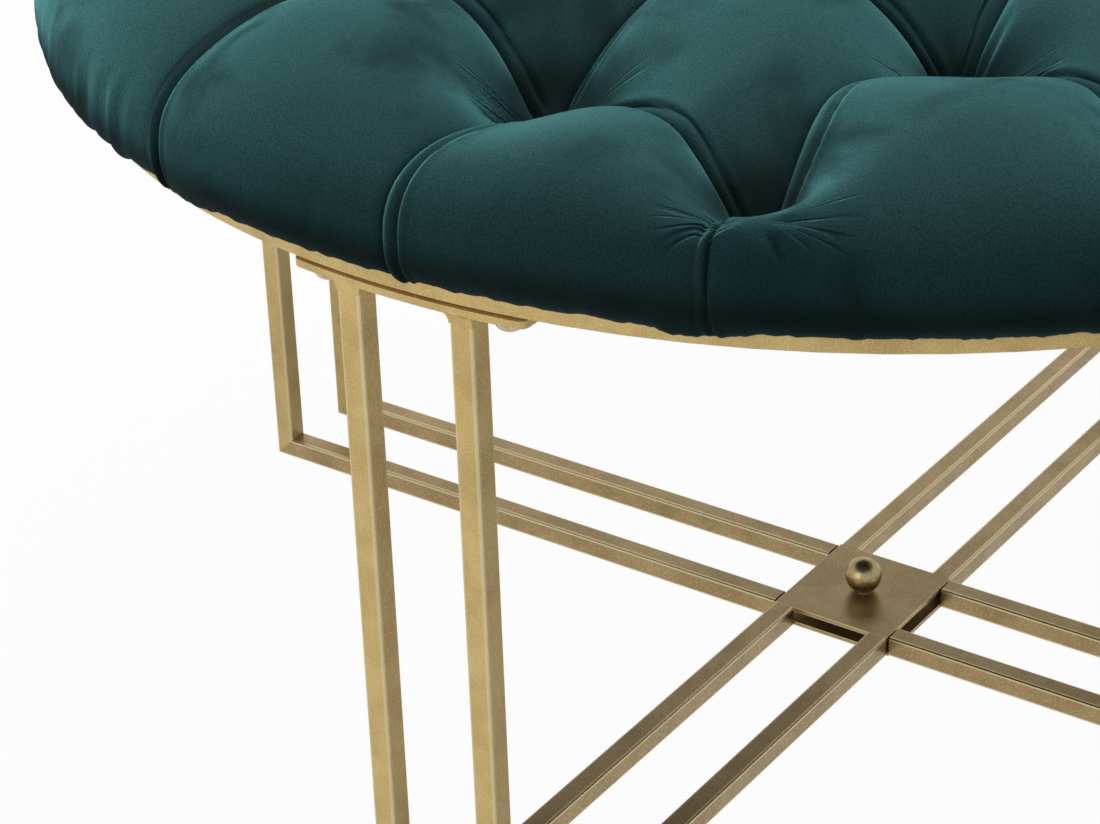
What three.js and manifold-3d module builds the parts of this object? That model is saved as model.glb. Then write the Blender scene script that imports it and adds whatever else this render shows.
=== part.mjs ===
// Round tufted stool on a knock-down double-bar X frame. Millimetres, +Z up, floor at z = 0.
// Two flat U frames of square tube cross in a half lap, and one ball-headed screw holds them.

import * as THREE from 'three';
import { mergeVertices } from 'three/addons/utils/BufferGeometryUtils.js';
import Module from 'manifold-3d';

const wasm = await Module();
wasm.setup();

// Driving dimensions

const tubeSide = 12;
const tubeWall = 1.2;
const tubeCorner = 1.6;
const tubeBoreCorner = 0.4;
const barPitch = 58.4;
const postInset = 8.2;

const crossPlateThick = 2.5;
const crossPlateOverhang = 1;

const legPlateTop = 367;
const legPlateThick = 3.4;
const legPlateInset = 1;
const legPlateWidth = 19.6;
const legPlateEnd = 12.7;
const legPlateShift = 4;
const legPlateCorner = 4;

const boltPostGap = 11.1;
const boltShankRadius = 3;
const boltCover = 1.9;
const boltHeadRadius = 5.1;
const boltHeadHeight = 3.4;
const boltHeadRim = 0.9;
const boltSocketFlats = 4;
const boltSocketDepth = 2;

const ballRadius = 10.1;
const ballNeckRadius = 5;
const ballNeckHeight = 1.1;
const ballScrewRadius = 4;
const ballScrewTip = 1;
const nutFlats = 13;
const nutSlack = 0.5;

const bandRadius = 400;
const bandThick = 3;
const bandHeight = 8.4;
const boardThick = 10;
const dustCoverThick = 0.5;
const dustCoverMargin = 1.5;

const cushionFootLap = 2;
const cushionBulge = 16;
const cushionWidestHeight = 18;
const cushionCrown = 84.5;
const cushionDome = 16;

const tuftDepth = 50;
const tuftFoldDepth = 20;
const tuftSeatMargin = 5.5;
const tuftHeadingDegrees = 54.16;
const pleatRise = 16;
const pleatInset = 7;
const pleatDriftDegrees = { '1,3': 2.5, '3,1': -7.3 };

const buttonRadius = 11;
const buttonHeight = 6.5;
const buttonRim = 1.6;

const clearance = 0.3;
const cutOverrun = 1;

// Shapes of the folds and puffs: how flat a fold's top is, how steeply a puff rises from it

const swellPower = 3;
const puffPower = 0.7;

// Tufting pattern: buttons in each row, and the pitches as shares of the cushion's radius

const tuftRowCounts = [2, 3, 4, 5, 4, 3, 2];
const tuftColumnShare = 0.3798;
const tuftRowShare = 0.2861;
const tuftOuterColumnShare = 0.4135;

// Counts of facets

const roundSteps = 96;
const holeSteps = 16;
const boltSteps = 16;
const ballSteps = 28;
const arcSteps = 14;
const cornerSteps = 3;
const domeSteps = 4;

// Places that follow from the sizes above

const crossHalf = (barPitch + tubeSide) / 2;
const crossEnd = crossHalf + crossPlateOverhang;
const frameReach = bandRadius - postInset;
const boltHalfSpan = crossHalf + boltPostGap;
const boltShankLength = legPlateThick + dustCoverThick + boardThick - boltCover;
const legPlateHalfSpan = boltHalfSpan + legPlateEnd;
const legPlateBottom = legPlateTop - legPlateThick;
const legPlateRadius = bandRadius - legPlateInset;
const boltCircleRadius = legPlateRadius - legPlateWidth / 2;
const dustCoverTop = legPlateTop + dustCoverThick;
const seatDeck = dustCoverTop + boardThick;
const boardRadius = bandRadius - bandThick - clearance;
const upperPlateBottom = tubeSide - crossPlateThick;
const nutHeight = upperPlateBottom - crossPlateThick - nutSlack;
const cushionBase = seatDeck + clearance;
const cushionRadius = bandRadius + cushionBulge;
const cushionFootRadius = bandRadius + cushionFootLap;
const tuftSeatRadius = buttonRadius + tuftSeatMargin;
const legCount = 4;
const legTurn = Math.PI / 2;

// Finishes

function finish(color, roughness, metalness) {
  return new THREE.MeshStandardMaterial({ color, roughness, metalness });
}

const goldPaint = () => finish(0xb79f63, 0.42, 0.75);
const polishedBrass = () => finish(0x9c8a4c, 0.22, 1);
const zincSteel = () => finish(0xa9a79c, 0.35, 0.9);
const plywood = () => finish(0xb58f5e, 0.75, 0);
const dustCloth = () => finish(0x151412, 0.95, 0);
const velvet = () => finish(0x17403f, 0.9, 0);

// Small tools for outlines and solids

function add(parent, name, geometry, material) {
  const mesh = new THREE.Mesh(geometry, material);
  mesh.name = name;
  parent.add(mesh);
  return mesh;
}

function group(parent) {
  const child = new THREE.Group();
  parent.add(child);
  return child;
}

function ringPoints(radius, steps, x = 0, y = 0) {
  return Array.from({ length: steps }, (_, i) => {
    const turn = (2 * Math.PI * i) / steps;
    return new THREE.Vector2(x + radius * Math.cos(turn), y + radius * Math.sin(turn));
  });
}

function roundHole(radius, steps, x = 0, y = 0) {
  return new THREE.Path(ringPoints(radius, steps, x, y));
}

function roundedSquare(side, corner) {
  const points = [];
  const reach = side / 2 - corner;
  for (let quarter = 0; quarter < 4; quarter += 1) {
    const start = (quarter * Math.PI) / 2;
    const cx = reach * Math.SQRT2 * Math.cos(start + Math.PI / 4);
    const cy = reach * Math.SQRT2 * Math.sin(start + Math.PI / 4);
    for (let step = 0; step <= cornerSteps; step += 1) {
      const turn = start + ((Math.PI / 2) * step) / cornerSteps;
      points.push(new THREE.Vector2(cx + corner * Math.cos(turn), cy + corner * Math.sin(turn)));
    }
  }
  return points;
}

function hexagon(flats) {
  return ringPoints(flats / Math.sqrt(3), 6);
}

function extrude(outline, depth, holes = []) {
  const shape = new THREE.Shape(outline);
  shape.holes.push(...holes);
  return new THREE.ExtrudeGeometry(shape, { depth, steps: 1, bevelEnabled: false });
}

function closed(geometry) {
  const bare = geometry.clone();
  bare.deleteAttribute('normal');
  bare.deleteAttribute('uv');
  return mergeVertices(bare);
}

function solid(geometry) {
  const merged = closed(geometry);
  return new wasm.Manifold(new wasm.Mesh({
    numProp: 3,
    vertProperties: new Float32Array(merged.attributes.position.array),
    triVerts: new Uint32Array(merged.index.array),
  }));
}

function fromSolid(body) {
  const mesh = body.getMesh();
  const geometry = new THREE.BufferGeometry();
  geometry.setAttribute('position', new THREE.BufferAttribute(mesh.vertProperties, 3));
  geometry.setIndex(new THREE.BufferAttribute(mesh.triVerts, 1));
  geometry.computeVertexNormals();
  return geometry;
}

// Square tube along +X from x0 to x1, centred on the axis, hollow and open at both ends.
// endSlope shears the far end: 1 makes a mitre that is longest at the low side.

function squareTube(x0, x1, endSlope = 0) {
  const bore = roundedSquare(tubeSide - 2 * tubeWall, tubeBoreCorner);
  const skin = roundedSquare(tubeSide, tubeCorner);
  const geometry = extrude(skin, x1 - x0, [new THREE.Path(bore)]);
  geometry.applyMatrix4(new THREE.Matrix4().makeBasis(
    new THREE.Vector3(0, 1, 0),
    new THREE.Vector3(0, 0, 1),
    new THREE.Vector3(1, 0, 0),
  ));
  geometry.translate(x0, 0, 0);
  const places = geometry.attributes.position;
  const middle = (x0 + x1) / 2;
  for (let i = 0; i < places.count; i += 1) {
    if (places.getX(i) > middle) {
      places.setX(i, places.getX(i) - endSlope * places.getZ(i));
    }
  }
  return geometry;
}

// One leg, standing on the +X side: two posts, two floor half bars, plate and two bolts

function postGeometry() {
  const geometry = squareTube(0, legPlateBottom - tubeSide / 2, 0);
  const places = geometry.attributes.position;
  for (let i = 0; i < places.count; i += 1) {
    if (places.getX(i) < tubeSide) {
      places.setX(i, places.getX(i) + places.getZ(i));
    }
  }
  geometry.rotateY(-Math.PI / 2);
  geometry.translate(frameReach - tubeSide / 2, 0, tubeSide / 2);
  return geometry;
}

function floorBarGeometry() {
  const geometry = squareTube(crossEnd, frameReach - tubeSide / 2, 1);
  geometry.translate(0, 0, tubeSide / 2);
  return geometry;
}

function legPlateOutline() {
  const inner = legPlateRadius - legPlateWidth;
  const low = legPlateShift - legPlateHalfSpan;
  const high = legPlateShift + legPlateHalfSpan;
  const across = (radius, y) => Math.sqrt(radius * radius - y * y);
  const outline = new THREE.Shape();
  const arcFrom = Math.asin((low + legPlateCorner) / legPlateRadius);
  const arcTo = Math.asin((high - legPlateCorner) / legPlateRadius);
  outline.absarc(0, 0, legPlateRadius, arcFrom, arcTo, false);
  const outerHigh = across(legPlateRadius, high);
  outline.quadraticCurveTo(outerHigh, high, outerHigh - legPlateCorner, high);
  outline.lineTo(across(inner, high), high);
  outline.absarc(0, 0, inner, Math.asin(high / inner), Math.asin(low / inner), true);
  const outerLow = across(legPlateRadius, low);
  outline.lineTo(outerLow - legPlateCorner, low);
  outline.quadraticCurveTo(outerLow, low, across(legPlateRadius, low + legPlateCorner), low + legPlateCorner);
  return outline;
}

function boltPlaces() {
  return [-1, 1].map((side) => {
    const y = legPlateShift + side * boltHalfSpan;
    return new THREE.Vector2(Math.sqrt(boltCircleRadius ** 2 - y ** 2), y);
  });
}

function boltHole(place) {
  return roundHole(boltShankRadius + clearance, holeSteps, place.x, place.y);
}

function legPlateGeometry() {
  const outline = legPlateOutline();
  outline.holes.push(...boltPlaces().map(boltHole));
  const settings = { depth: legPlateThick, steps: 1, bevelEnabled: false, curveSegments: arcSteps };
  const geometry = new THREE.ExtrudeGeometry(outline, settings);
  geometry.translate(0, 0, legPlateBottom);
  return geometry;
}

// Button-head bolt, head underside at z = 0 and shank upwards

function boltGeometry() {
  const profile = [new THREE.Vector2(0, boltShankLength), new THREE.Vector2(boltShankRadius, boltShankLength)];
  profile.push(new THREE.Vector2(boltShankRadius, 0), new THREE.Vector2(boltHeadRadius, 0));
  const crownHeight = boltHeadHeight - boltHeadRim;
  for (let step = 0; step < domeSteps; step += 1) {
    const turn = ((Math.PI / 2) * step) / domeSteps;
    const radius = boltHeadRadius * Math.cos(turn);
    profile.push(new THREE.Vector2(radius, -boltHeadRim - crownHeight * Math.sin(turn)));
  }
  profile.push(new THREE.Vector2(0, -boltHeadHeight));
  const blank = solid(new THREE.LatheGeometry(profile.reverse(), boltSteps));
  const socket = extrude(hexagon(boltSocketFlats), boltSocketDepth + cutOverrun);
  socket.translate(0, 0, -boltHeadHeight - cutOverrun);
  const upright = new THREE.Matrix4().makeRotationX(Math.PI / 2);
  return fromSolid(blank.subtract(solid(socket.applyMatrix4(upright.clone().invert()))))
    .applyMatrix4(upright);
}

function buildLeg(parent, name, turn) {
  const leg = group(parent);
  leg.rotation.z = turn;
  [-1, 1].forEach((side, index) => {
    const pair = group(leg);
    pair.position.y = (side * barPitch) / 2;
    add(pair, `${name}_post_${index + 1}`, postGeometry(), goldPaint());
    add(pair, `${name}_floor_bar_${index + 1}`, floorBarGeometry(), goldPaint());
  });
  add(leg, `${name}_leg_plate`, legPlateGeometry(), goldPaint());
  boltPlaces().forEach((place, index) => {
    const bolt = add(leg, `${name}_bolt_${index + 1}`, boltGeometry(), zincSteel());
    bolt.position.set(place.x, place.y, legPlateBottom);
  });
}

// Half-lap crossing: one plate flush with the bar tops, one flush with the undersides

function crossPlateGeometry() {
  const long = 2 * crossEnd;
  const wide = 2 * crossHalf;
  const outline = [[-1, -1], [1, -1], [1, 1], [-1, 1]].map(
    ([x, y]) => new THREE.Vector2((x * long) / 2, (y * wide) / 2),
  );
  const hole = roundHole(ballScrewRadius + clearance, holeSteps);
  return extrude(outline, crossPlateThick, [hole]);
}

function ballScrewGeometry() {
  const neckTop = tubeSide + ballNeckHeight;
  const seatTurn = Math.asin(ballNeckRadius / ballRadius);
  const centre = neckTop + ballRadius * Math.cos(seatTurn);
  const profile = [new THREE.Vector2(0, ballScrewTip), new THREE.Vector2(ballScrewRadius, ballScrewTip)];
  profile.push(new THREE.Vector2(ballScrewRadius, tubeSide), new THREE.Vector2(ballNeckRadius, tubeSide));
  const steps = ballSteps / 2;
  for (let step = 0; step < steps; step += 1) {
    const turn = seatTurn + ((Math.PI - seatTurn) * step) / steps;
    profile.push(new THREE.Vector2(ballRadius * Math.sin(turn), centre - ballRadius * Math.cos(turn)));
  }
  profile.push(new THREE.Vector2(0, centre + ballRadius));
  return new THREE.LatheGeometry(profile, ballSteps).rotateX(Math.PI / 2);
}

function nutGeometry() {
  return extrude(hexagon(nutFlats), nutHeight, [roundHole(ballScrewRadius + clearance, holeSteps)]);
}

function buildCrossing(parent) {
  const upper = add(parent, 'upper_cross_plate', crossPlateGeometry(), goldPaint());
  upper.position.z = upperPlateBottom;
  const lower = add(parent, 'lower_cross_plate', crossPlateGeometry(), goldPaint());
  lower.rotation.z = legTurn;
  add(parent, 'ball_screw', ballScrewGeometry(), polishedBrass());
  const nut = add(parent, 'cross_nut', nutGeometry(), zincSteel());
  nut.position.z = crossPlateThick;
}

// Seat deck: gold hoop round a plywood disc, with a black cloth stapled below

function allBoltHoles() {
  const holes = [];
  for (let leg = 0; leg < legCount; leg += 1) {
    const centre = new THREE.Vector2();
    boltPlaces().forEach((place) => {
      holes.push(boltHole(place.clone().rotateAround(centre, leg * legTurn)));
    });
  }
  return holes;
}

function buildDeck(parent) {
  const hoop = extrude(ringPoints(bandRadius, roundSteps), bandHeight, [
    roundHole(bandRadius - bandThick, roundSteps),
  ]);
  add(parent, 'seat_band', hoop, goldPaint()).position.z = seatDeck - bandHeight;
  const board = extrude(ringPoints(boardRadius, roundSteps), boardThick, allBoltHoles());
  add(parent, 'seat_board', board, plywood()).position.z = dustCoverTop;
  const cloth = extrude(ringPoints(boardRadius - dustCoverMargin, roundSteps), dustCoverThick, allBoltHoles());
  add(parent, 'dust_cover', cloth, dustCloth()).position.z = legPlateTop;
}

// Tufting grid. Columns count in half pitches from the middle, so column + row is even at
// every button, and each puff is the diamond between four of them.

const outerRow = (tuftRowCounts.length - 1) / 2;

function tuftPlace(column, row) {
  const share = Math.abs(row) === outerRow ? tuftOuterColumnShare : tuftColumnShare;
  return new THREE.Vector2((column * share) / 2, row * tuftRowShare).multiplyScalar(cushionRadius);
}

function tuftGrid() {
  const grid = new Map();
  tuftRowCounts.forEach((count, index) => {
    const row = index - outerRow;
    for (let column = 1 - count; column < count; column += 2) {
      const name = `${column},${row}`;
      grid.set(name, { name, column, row, place: tuftPlace(column, row) });
    }
  });
  return grid;
}

function diamondGrid(grid) {
  const diamonds = [];
  grid.forEach(({ column, row }) => {
    const steps = [[0, 0], [1, 1], [0, 2], [-1, 1]];
    const corners = steps.map(([dx, dy]) => grid.get(`${column + dx},${row + dy}`));
    if (corners.every(Boolean)) {
      diamonds.push(corners);
    }
  });
  return diamonds;
}

// The folds that only one diamond has, walked anticlockwise round the rim

function rimRing(diamonds) {
  const folds = new Map();
  diamonds.forEach((corners) => corners.forEach((from, i) => {
    const to = corners[(i + 1) % corners.length];
    folds.set(`${from.name} ${to.name}`, [from, to]);
  }));
  const outer = [...folds.values()].filter(([from, to]) => !folds.has(`${to.name} ${from.name}`));
  const follow = new Map(outer);
  const ring = [outer[0][0]];
  while (follow.get(ring.at(-1)) !== ring[0]) {
    ring.push(follow.get(ring.at(-1)));
  }
  return ring;
}

// Where three diamonds meet, the rim puff runs on past the button without a pleat

function aimPleats(ring, diamonds) {
  ring.forEach((tuft) => {
    const { x, y } = tuft.place;
    const drift = pleatDriftDegrees[`${Math.abs(tuft.column)},${Math.abs(tuft.row)}`] ?? 0;
    const turn = Math.atan2(Math.abs(x), Math.abs(y)) + THREE.MathUtils.degToRad(drift);
    tuft.rim = new THREE.Vector2(Math.sign(x) * Math.sin(turn), Math.sign(y) * Math.cos(turn));
    tuft.pleated = diamonds.filter((corners) => corners.includes(tuft)).length < 3;
  });
}

const tufts = tuftGrid();
const diamonds = diamondGrid(tufts);
const rim = rimRing(diamonds);
aimPleats(rim, diamonds);

// Heights above the cushion's base, by distance from the middle

const crownAt = (radius) => cushionCrown - cushionDome * (radius / cushionRadius) ** 2;
const foldAt = (radius) => crownAt(radius) - tuftFoldDepth;
const seatAt = (radius) => crownAt(radius) - tuftDepth;

// Swell of a fold or a puff between two buttons: none at either end, full by the middle

const swell = (share) => 1 - Math.abs(2 * share - 1) ** swellPower;
const puff = (share) => share ** puffPower;
const blend = (a, b, share) => a * (1 - share) + b * share;
const blendPlace = (a, b, share) => new THREE.Vector2(blend(a.x, b.x, share), blend(a.y, b.y, share));

const foldShares = [0, 0.1, 0.34, 0.66, 0.9, 1];
const foldEnd = foldShares.length - 1;
const puffOutShares = [0, 0.1, 0.3, 0.5];
const puffPlanShares = [0, 0.12, 0.3, 0.5];
const sideTurnShares = [0.36, 0.7, 1];
const lowerSideShares = [0.55, 1];

class Skin {
  constructor() {
    this.points = [];
    this.faces = [];
  }

  point(place, height) {
    this.points.push([place.x, place.y, height]);
    return this.points.length - 1;
  }

  // Sheet of quads between rows of point numbers, facing up when rows run outwards
  sheet(rows) {
    for (let i = 0; i + 1 < rows.length; i += 1) {
      for (let j = 0; j + 1 < rows[i].length; j += 1) {
        const [a, b, c, d] = [rows[i][j], rows[i + 1][j], rows[i + 1][j + 1], rows[i][j + 1]];
        this.faces.push([a, b, c], [a, c, d]);
      }
    }
  }

  geometry() {
    const flat = this.faces.flatMap((face) => face.flatMap((index) => this.points[index]));
    const geometry = new THREE.BufferGeometry();
    geometry.setAttribute('position', new THREE.Float32BufferAttribute(flat, 3));
    const merged = mergeVertices(geometry);
    merged.computeVertexNormals();
    return merged;
  }
}

// Points next to a button lie round the flat seat that the button presses down,
// towards one neighbour or half-way between two

function seatRim(tuft, ...targets) {
  const away = new THREE.Vector2();
  targets.forEach((target) => away.add(target.clone().sub(tuft.place).normalize()));
  const place = tuft.place.clone().add(away.setLength(tuftSeatRadius));
  return { place, height: seatAt(tuft.place.length()) };
}

// Step number along a fold, always counted from the lower-named button so both sides agree

function foldPoint(from, to, step) {
  const swap = from.name > to.name;
  const [a, b] = swap ? [to, from] : [from, to];
  const index = swap ? foldEnd - step : step;
  if (index === 1) {
    return seatRim(a, b.place);
  }
  if (index === foldEnd - 1) {
    return seatRim(b, a.place);
  }
  const share = foldShares[index];
  const place = blendPlace(a.place, b.place, share);
  const seat = blend(seatAt(a.place.length()), seatAt(b.place.length()), share);
  return { place, height: blend(seat, foldAt(place.length()), swell(share)) };
}

// Diamond puff between four buttons: low, right, high and left

function diamondPuff(skin, corners) {
  const rows = [];
  for (let i = 0; i <= foldEnd; i += 1) {
    const row = [];
    for (let j = 0; j <= foldEnd; j += 1) {
      row.push(diamondPoint(skin, corners, i, j));
    }
    rows.push(row);
  }
  skin.sheet(rows);
}

function diamondPoint(skin, [low, right, high, left], i, j) {
  let spot;
  if (j === 0) {
    spot = foldPoint(low, right, i);
  } else if (j === foldEnd) {
    spot = foldPoint(left, high, i);
  } else if (i === 0) {
    spot = foldPoint(low, left, j);
  } else if (i === foldEnd) {
    spot = foldPoint(right, high, j);
  } else if ([1, foldEnd - 1].includes(i) && [1, foldEnd - 1].includes(j)) {
    const [near, far] = i === 1 ? [[low, left], [right, high]] : [[right, high], [low, left]];
    const side = j === 1 ? 0 : 1;
    spot = seatRim(near[side], far[side].place, near[1 - side].place);
  } else {
    const s = foldShares[i];
    const t = foldShares[j];
    const place = blendPlace(blendPlace(low.place, right.place, s), blendPlace(left.place, high.place, s), t);
    const radius = place.length();
    const [ws, wt] = [swell(s), swell(t)];
    const seat = seatAt(radius);
    const folds = (foldAt(radius) - seat) * (ws + wt - 2 * ws * wt);
    spot = { place, height: seat + folds + (crownAt(radius) - seat) * puff(ws * wt) };
  }
  return skin.point(spot.place, spot.height);
}

// Rim puff from the fold between two outer buttons, over the shoulder and down to the base.
// A button without a pleat is the middle of a puff that two such sheets share.

function rimPuff(skin, from, to) {
  const rows = [];
  const lastTop = puffOutShares.length - 1;
  const sideRows = sideTurnShares.length;
  const total = lastTop + sideRows + lowerSideShares.length;
  for (let k = 0; k <= total; k += 1) {
    const row = [];
    for (let i = 0; i <= foldEnd; i += 1) {
      row.push(rimPoint(skin, from, to, i, k, lastTop, sideRows));
    }
    rows.push(row);
  }
  skin.sheet(rows);
  return rows[total];
}

function rimSwell(from, to, share) {
  if (!to.pleated) {
    return swell(share / 2);
  }
  return from.pleated ? swell(share) : swell((1 + share) / 2);
}

function rimDirection(from, to, i) {
  if (i === foldEnd) {
    return to.rim.clone();
  }
  const turn = (to.rim.angle() - from.rim.angle() + 2 * Math.PI) % (2 * Math.PI);
  return from.rim.clone().rotateAround(new THREE.Vector2(), turn * foldShares[i]);
}

function rimPoint(skin, from, to, i, k, lastTop, sideRows) {
  const s = foldShares[i];
  const rise = rimSwell(from, to, s);
  const outward = rimDirection(from, to, i);
  const widest = outward.clone().multiplyScalar(cushionRadius - pleatInset * (1 - rise));
  const onFold = blendPlace(from.place, to.place, s);
  const crownPlace = blendPlace(onFold, widest, puffPlanShares[lastTop]);
  const seat = seatAt(onFold.length());
  const crown = blend(seat + pleatRise, crownAt(crownPlace.length()), puff(rise));
  if (k === 0) {
    const spot = foldPoint(from, to, i);
    return skin.point(spot.place, spot.height);
  }
  if (k === 1 && (i <= 1 || i >= foldEnd - 1)) {
    const [owner, other] = i <= 1 ? [from, to] : [to, from];
    const targets = i === 0 || i === foldEnd ? [] : [other.place];
    const spot = seatRim(owner, owner.rim.clone().multiplyScalar(cushionRadius), ...targets);
    return skin.point(spot.place, spot.height);
  }
  if (k <= lastTop) {
    const out = swell(puffOutShares[k]);
    const fold = (foldAt(onFold.length()) - seat) * swell(s) * (1 - out);
    const height = seat + fold + (crown - seat) * puff(out);
    return skin.point(blendPlace(onFold, widest, puffPlanShares[k]), height);
  }
  if (k <= lastTop + sideRows) {
    const angle = (sideTurnShares[k - lastTop - 1] * Math.PI) / 2;
    const place = blendPlace(crownPlace, widest, Math.sin(angle));
    const height = cushionWidestHeight + (crown - cushionWidestHeight) * Math.cos(angle);
    return skin.point(place, height);
  }
  const drop = lowerSideShares[k - lastTop - sideRows - 1];
  const foot = outward.clone().multiplyScalar(cushionFootRadius);
  const place = blendPlace(foot, widest, Math.sqrt(1 - drop * drop));
  return skin.point(place, cushionWidestHeight * (1 - drop));
}

function cushionGeometry() {
  const skin = new Skin();
  diamonds.forEach((corners) => diamondPuff(skin, corners));
  const middle = skin.point(new THREE.Vector2(), 0);
  rim.forEach((tuft, index) => {
    const foot = rimPuff(skin, tuft, rim[(index + 1) % rim.length]);
    for (let i = 0; i + 1 < foot.length; i += 1) {
      skin.faces.push([middle, foot[i + 1], foot[i]]);
    }
  });
  return skin.geometry();
}

function buttonGeometry() {
  const profile = [new THREE.Vector2(0, 0), new THREE.Vector2(buttonRadius - buttonRim / 2, 0)];
  for (let step = 0; step < domeSteps; step += 1) {
    const turn = ((Math.PI / 2) * step) / domeSteps;
    const rise = (buttonHeight - buttonRim) * Math.sin(turn);
    profile.push(new THREE.Vector2(buttonRadius * Math.cos(turn), buttonRim + rise));
  }
  profile.push(new THREE.Vector2(0, buttonHeight));
  return new THREE.LatheGeometry(profile, boltSteps).rotateX(Math.PI / 2);
}

function buildCushion(parent) {
  const seat = group(parent);
  seat.position.z = cushionBase;
  seat.rotation.z = -THREE.MathUtils.degToRad(tuftHeadingDegrees);
  add(seat, 'seat_cushion', cushionGeometry(), velvet());
  let count = 0;
  tufts.forEach(({ place }) => {
    count += 1;
    const name = `tuft_button_${String(count).padStart(2, '0')}`;
    const button = add(seat, name, buttonGeometry(), velvet());
    button.position.set(place.x, place.y, seatAt(place.length()) + clearance);
  });
}

// Assembly. Leg names are the sides on which they stand.

const stool = new THREE.Group();
['east', 'north', 'west', 'south'].forEach((side, index) => {
  buildLeg(stool, side, index * legTurn);
});
buildCrossing(stool);
buildDeck(stool);
buildCushion(stool);

export default stool;
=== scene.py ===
import math

import bmesh
import bpy
import numpy as np
from mathutils import Matrix, Vector
from mathutils.kdtree import KDTree


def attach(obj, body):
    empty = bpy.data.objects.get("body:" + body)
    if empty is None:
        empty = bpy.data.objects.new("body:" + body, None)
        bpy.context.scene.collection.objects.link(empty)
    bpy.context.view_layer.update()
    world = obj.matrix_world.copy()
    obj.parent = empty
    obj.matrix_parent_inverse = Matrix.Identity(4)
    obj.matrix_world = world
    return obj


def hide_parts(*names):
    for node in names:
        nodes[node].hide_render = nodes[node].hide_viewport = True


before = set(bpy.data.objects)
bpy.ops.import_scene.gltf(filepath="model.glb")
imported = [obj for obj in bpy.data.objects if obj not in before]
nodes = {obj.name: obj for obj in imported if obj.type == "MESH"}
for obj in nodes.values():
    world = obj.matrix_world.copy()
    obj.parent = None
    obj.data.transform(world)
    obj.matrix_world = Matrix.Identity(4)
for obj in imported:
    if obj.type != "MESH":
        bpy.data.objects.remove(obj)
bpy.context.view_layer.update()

# Round tufted stool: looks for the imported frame. Metres; the cushion is worked out in millimetres.

mm = 0.001
legNames = ("east", "north", "west", "south")


def toScene(obj):
    bpy.context.scene.collection.objects.link(obj)
    return obj


# Camera at the photograph's viewing angle

cameraView = dict(
    place=(-1.2767, -0.7118, 0.92495),
    heading=54.16,  # degrees from +Y towards +X
    downward=28.66,
    roll=-1.998,
    lens=100.8,
    sensorWidth=36.0,
    nearest=0.05,
)


def makeCamera(view):
    heading, down, roll = (math.radians(view[key]) for key in ("heading", "downward", "roll"))
    forward = Vector((math.sin(heading) * math.cos(down), math.cos(heading) * math.cos(down), -math.sin(down)))
    level = Vector((math.cos(heading), -math.sin(heading), 0))
    upright = level.cross(forward)
    right = math.cos(roll) * level + math.sin(roll) * upright
    top = -math.sin(roll) * level + math.cos(roll) * upright
    data = bpy.data.cameras.new("camera")
    data.lens = view["lens"]
    data.sensor_width = view["sensorWidth"]
    data.clip_start = view["nearest"]
    camera = toScene(bpy.data.objects.new("camera", data))
    turn = Matrix((right, top, -forward)).transposed()
    camera.matrix_world = Matrix.Translation(view["place"]) @ turn.to_4x4()
    bpy.context.scene.camera = camera


makeCamera(cameraView)
print("stage: camera")


# Meshes

def meshObject(name, points, faces, smooth=True):
    mesh = bpy.data.meshes.new(name)
    mesh.from_pydata([tuple(map(float, p)) for p in points], [], faces)
    mesh.update()
    obj = toScene(bpy.data.objects.new(name, mesh))
    if smooth:
        mesh.shade_smooth()
    return obj


def cleanMesh(obj, merge=1e-6):
    work = bmesh.new()
    work.from_mesh(obj.data)
    bmesh.ops.remove_doubles(work, verts=work.verts, dist=merge)
    bmesh.ops.dissolve_degenerate(work, edges=work.edges, dist=merge)
    bmesh.ops.recalc_face_normals(work, faces=work.faces)
    work.to_mesh(obj.data)
    work.free()


def applyModifiers(obj):
    depsgraph = bpy.context.evaluated_depsgraph_get()
    finished = bpy.data.meshes.new_from_object(obj.evaluated_get(depsgraph), depsgraph=depsgraph)
    obj.modifiers.clear()
    obj.data = finished


def smoothByAngle(obj, degrees):
    obj.data.shade_smooth()
    obj.data.set_sharp_from_angle(angle=math.radians(degrees))


def lathe(name, profile, steps):
    rings = []
    points, faces = [], []
    for radius, height in profile:
        if radius < 1e-9:
            rings.append([len(points)] * steps)
            points.append((0, 0, height))
            continue
        rings.append([len(points) + i for i in range(steps)])
        for i in range(steps):
            turn = 2 * math.pi * i / steps
            points.append((radius * math.cos(turn), radius * math.sin(turn), height))
    for low, high in zip(rings, rings[1:]):
        for i in range(steps):
            j = (i + 1) % steps
            face = [low[i], low[j], high[j], high[i]]
            face = [v for k, v in enumerate(face) if v != face[k - 1]]
            if len(face) > 2:
                faces.append(face)
    return meshObject(name, points, faces)


def dress(piece, material, slot, *replaced):
    piece.data.materials.clear()
    piece.data.materials.append(material)
    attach(piece, "root")
    if replaced:
        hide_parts(*replaced)


# Shader nodes and the groups that several materials share

def feedAll(tree, node, inputs):
    # a plain value is set on its socket, an output is linked to it
    for key, value in inputs.items():
        if isinstance(value, (int, float, tuple)):
            node.inputs[key].default_value = value
        else:
            tree.links.new(value, node.inputs[key])


def addNode(tree, kind, inputs=None, **settings):
    node = tree.nodes.new(kind)
    for key, value in settings.items():
        setattr(node, key, value)
    feedAll(tree, node, inputs or {})
    return node


def newGroup(name, inputs, outputs):
    group = bpy.data.node_groups.new(name, "ShaderNodeTree")
    for socketName, kind, value in inputs:
        socket = group.interface.new_socket(socketName, in_out="INPUT", socket_type="NodeSocket" + kind)
        if value is not None:
            socket.default_value = value
    for socketName, kind in outputs:
        group.interface.new_socket(socketName, in_out="OUTPUT", socket_type="NodeSocket" + kind)
    return group, group.nodes.new("NodeGroupInput"), group.nodes.new("NodeGroupOutput")


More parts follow.
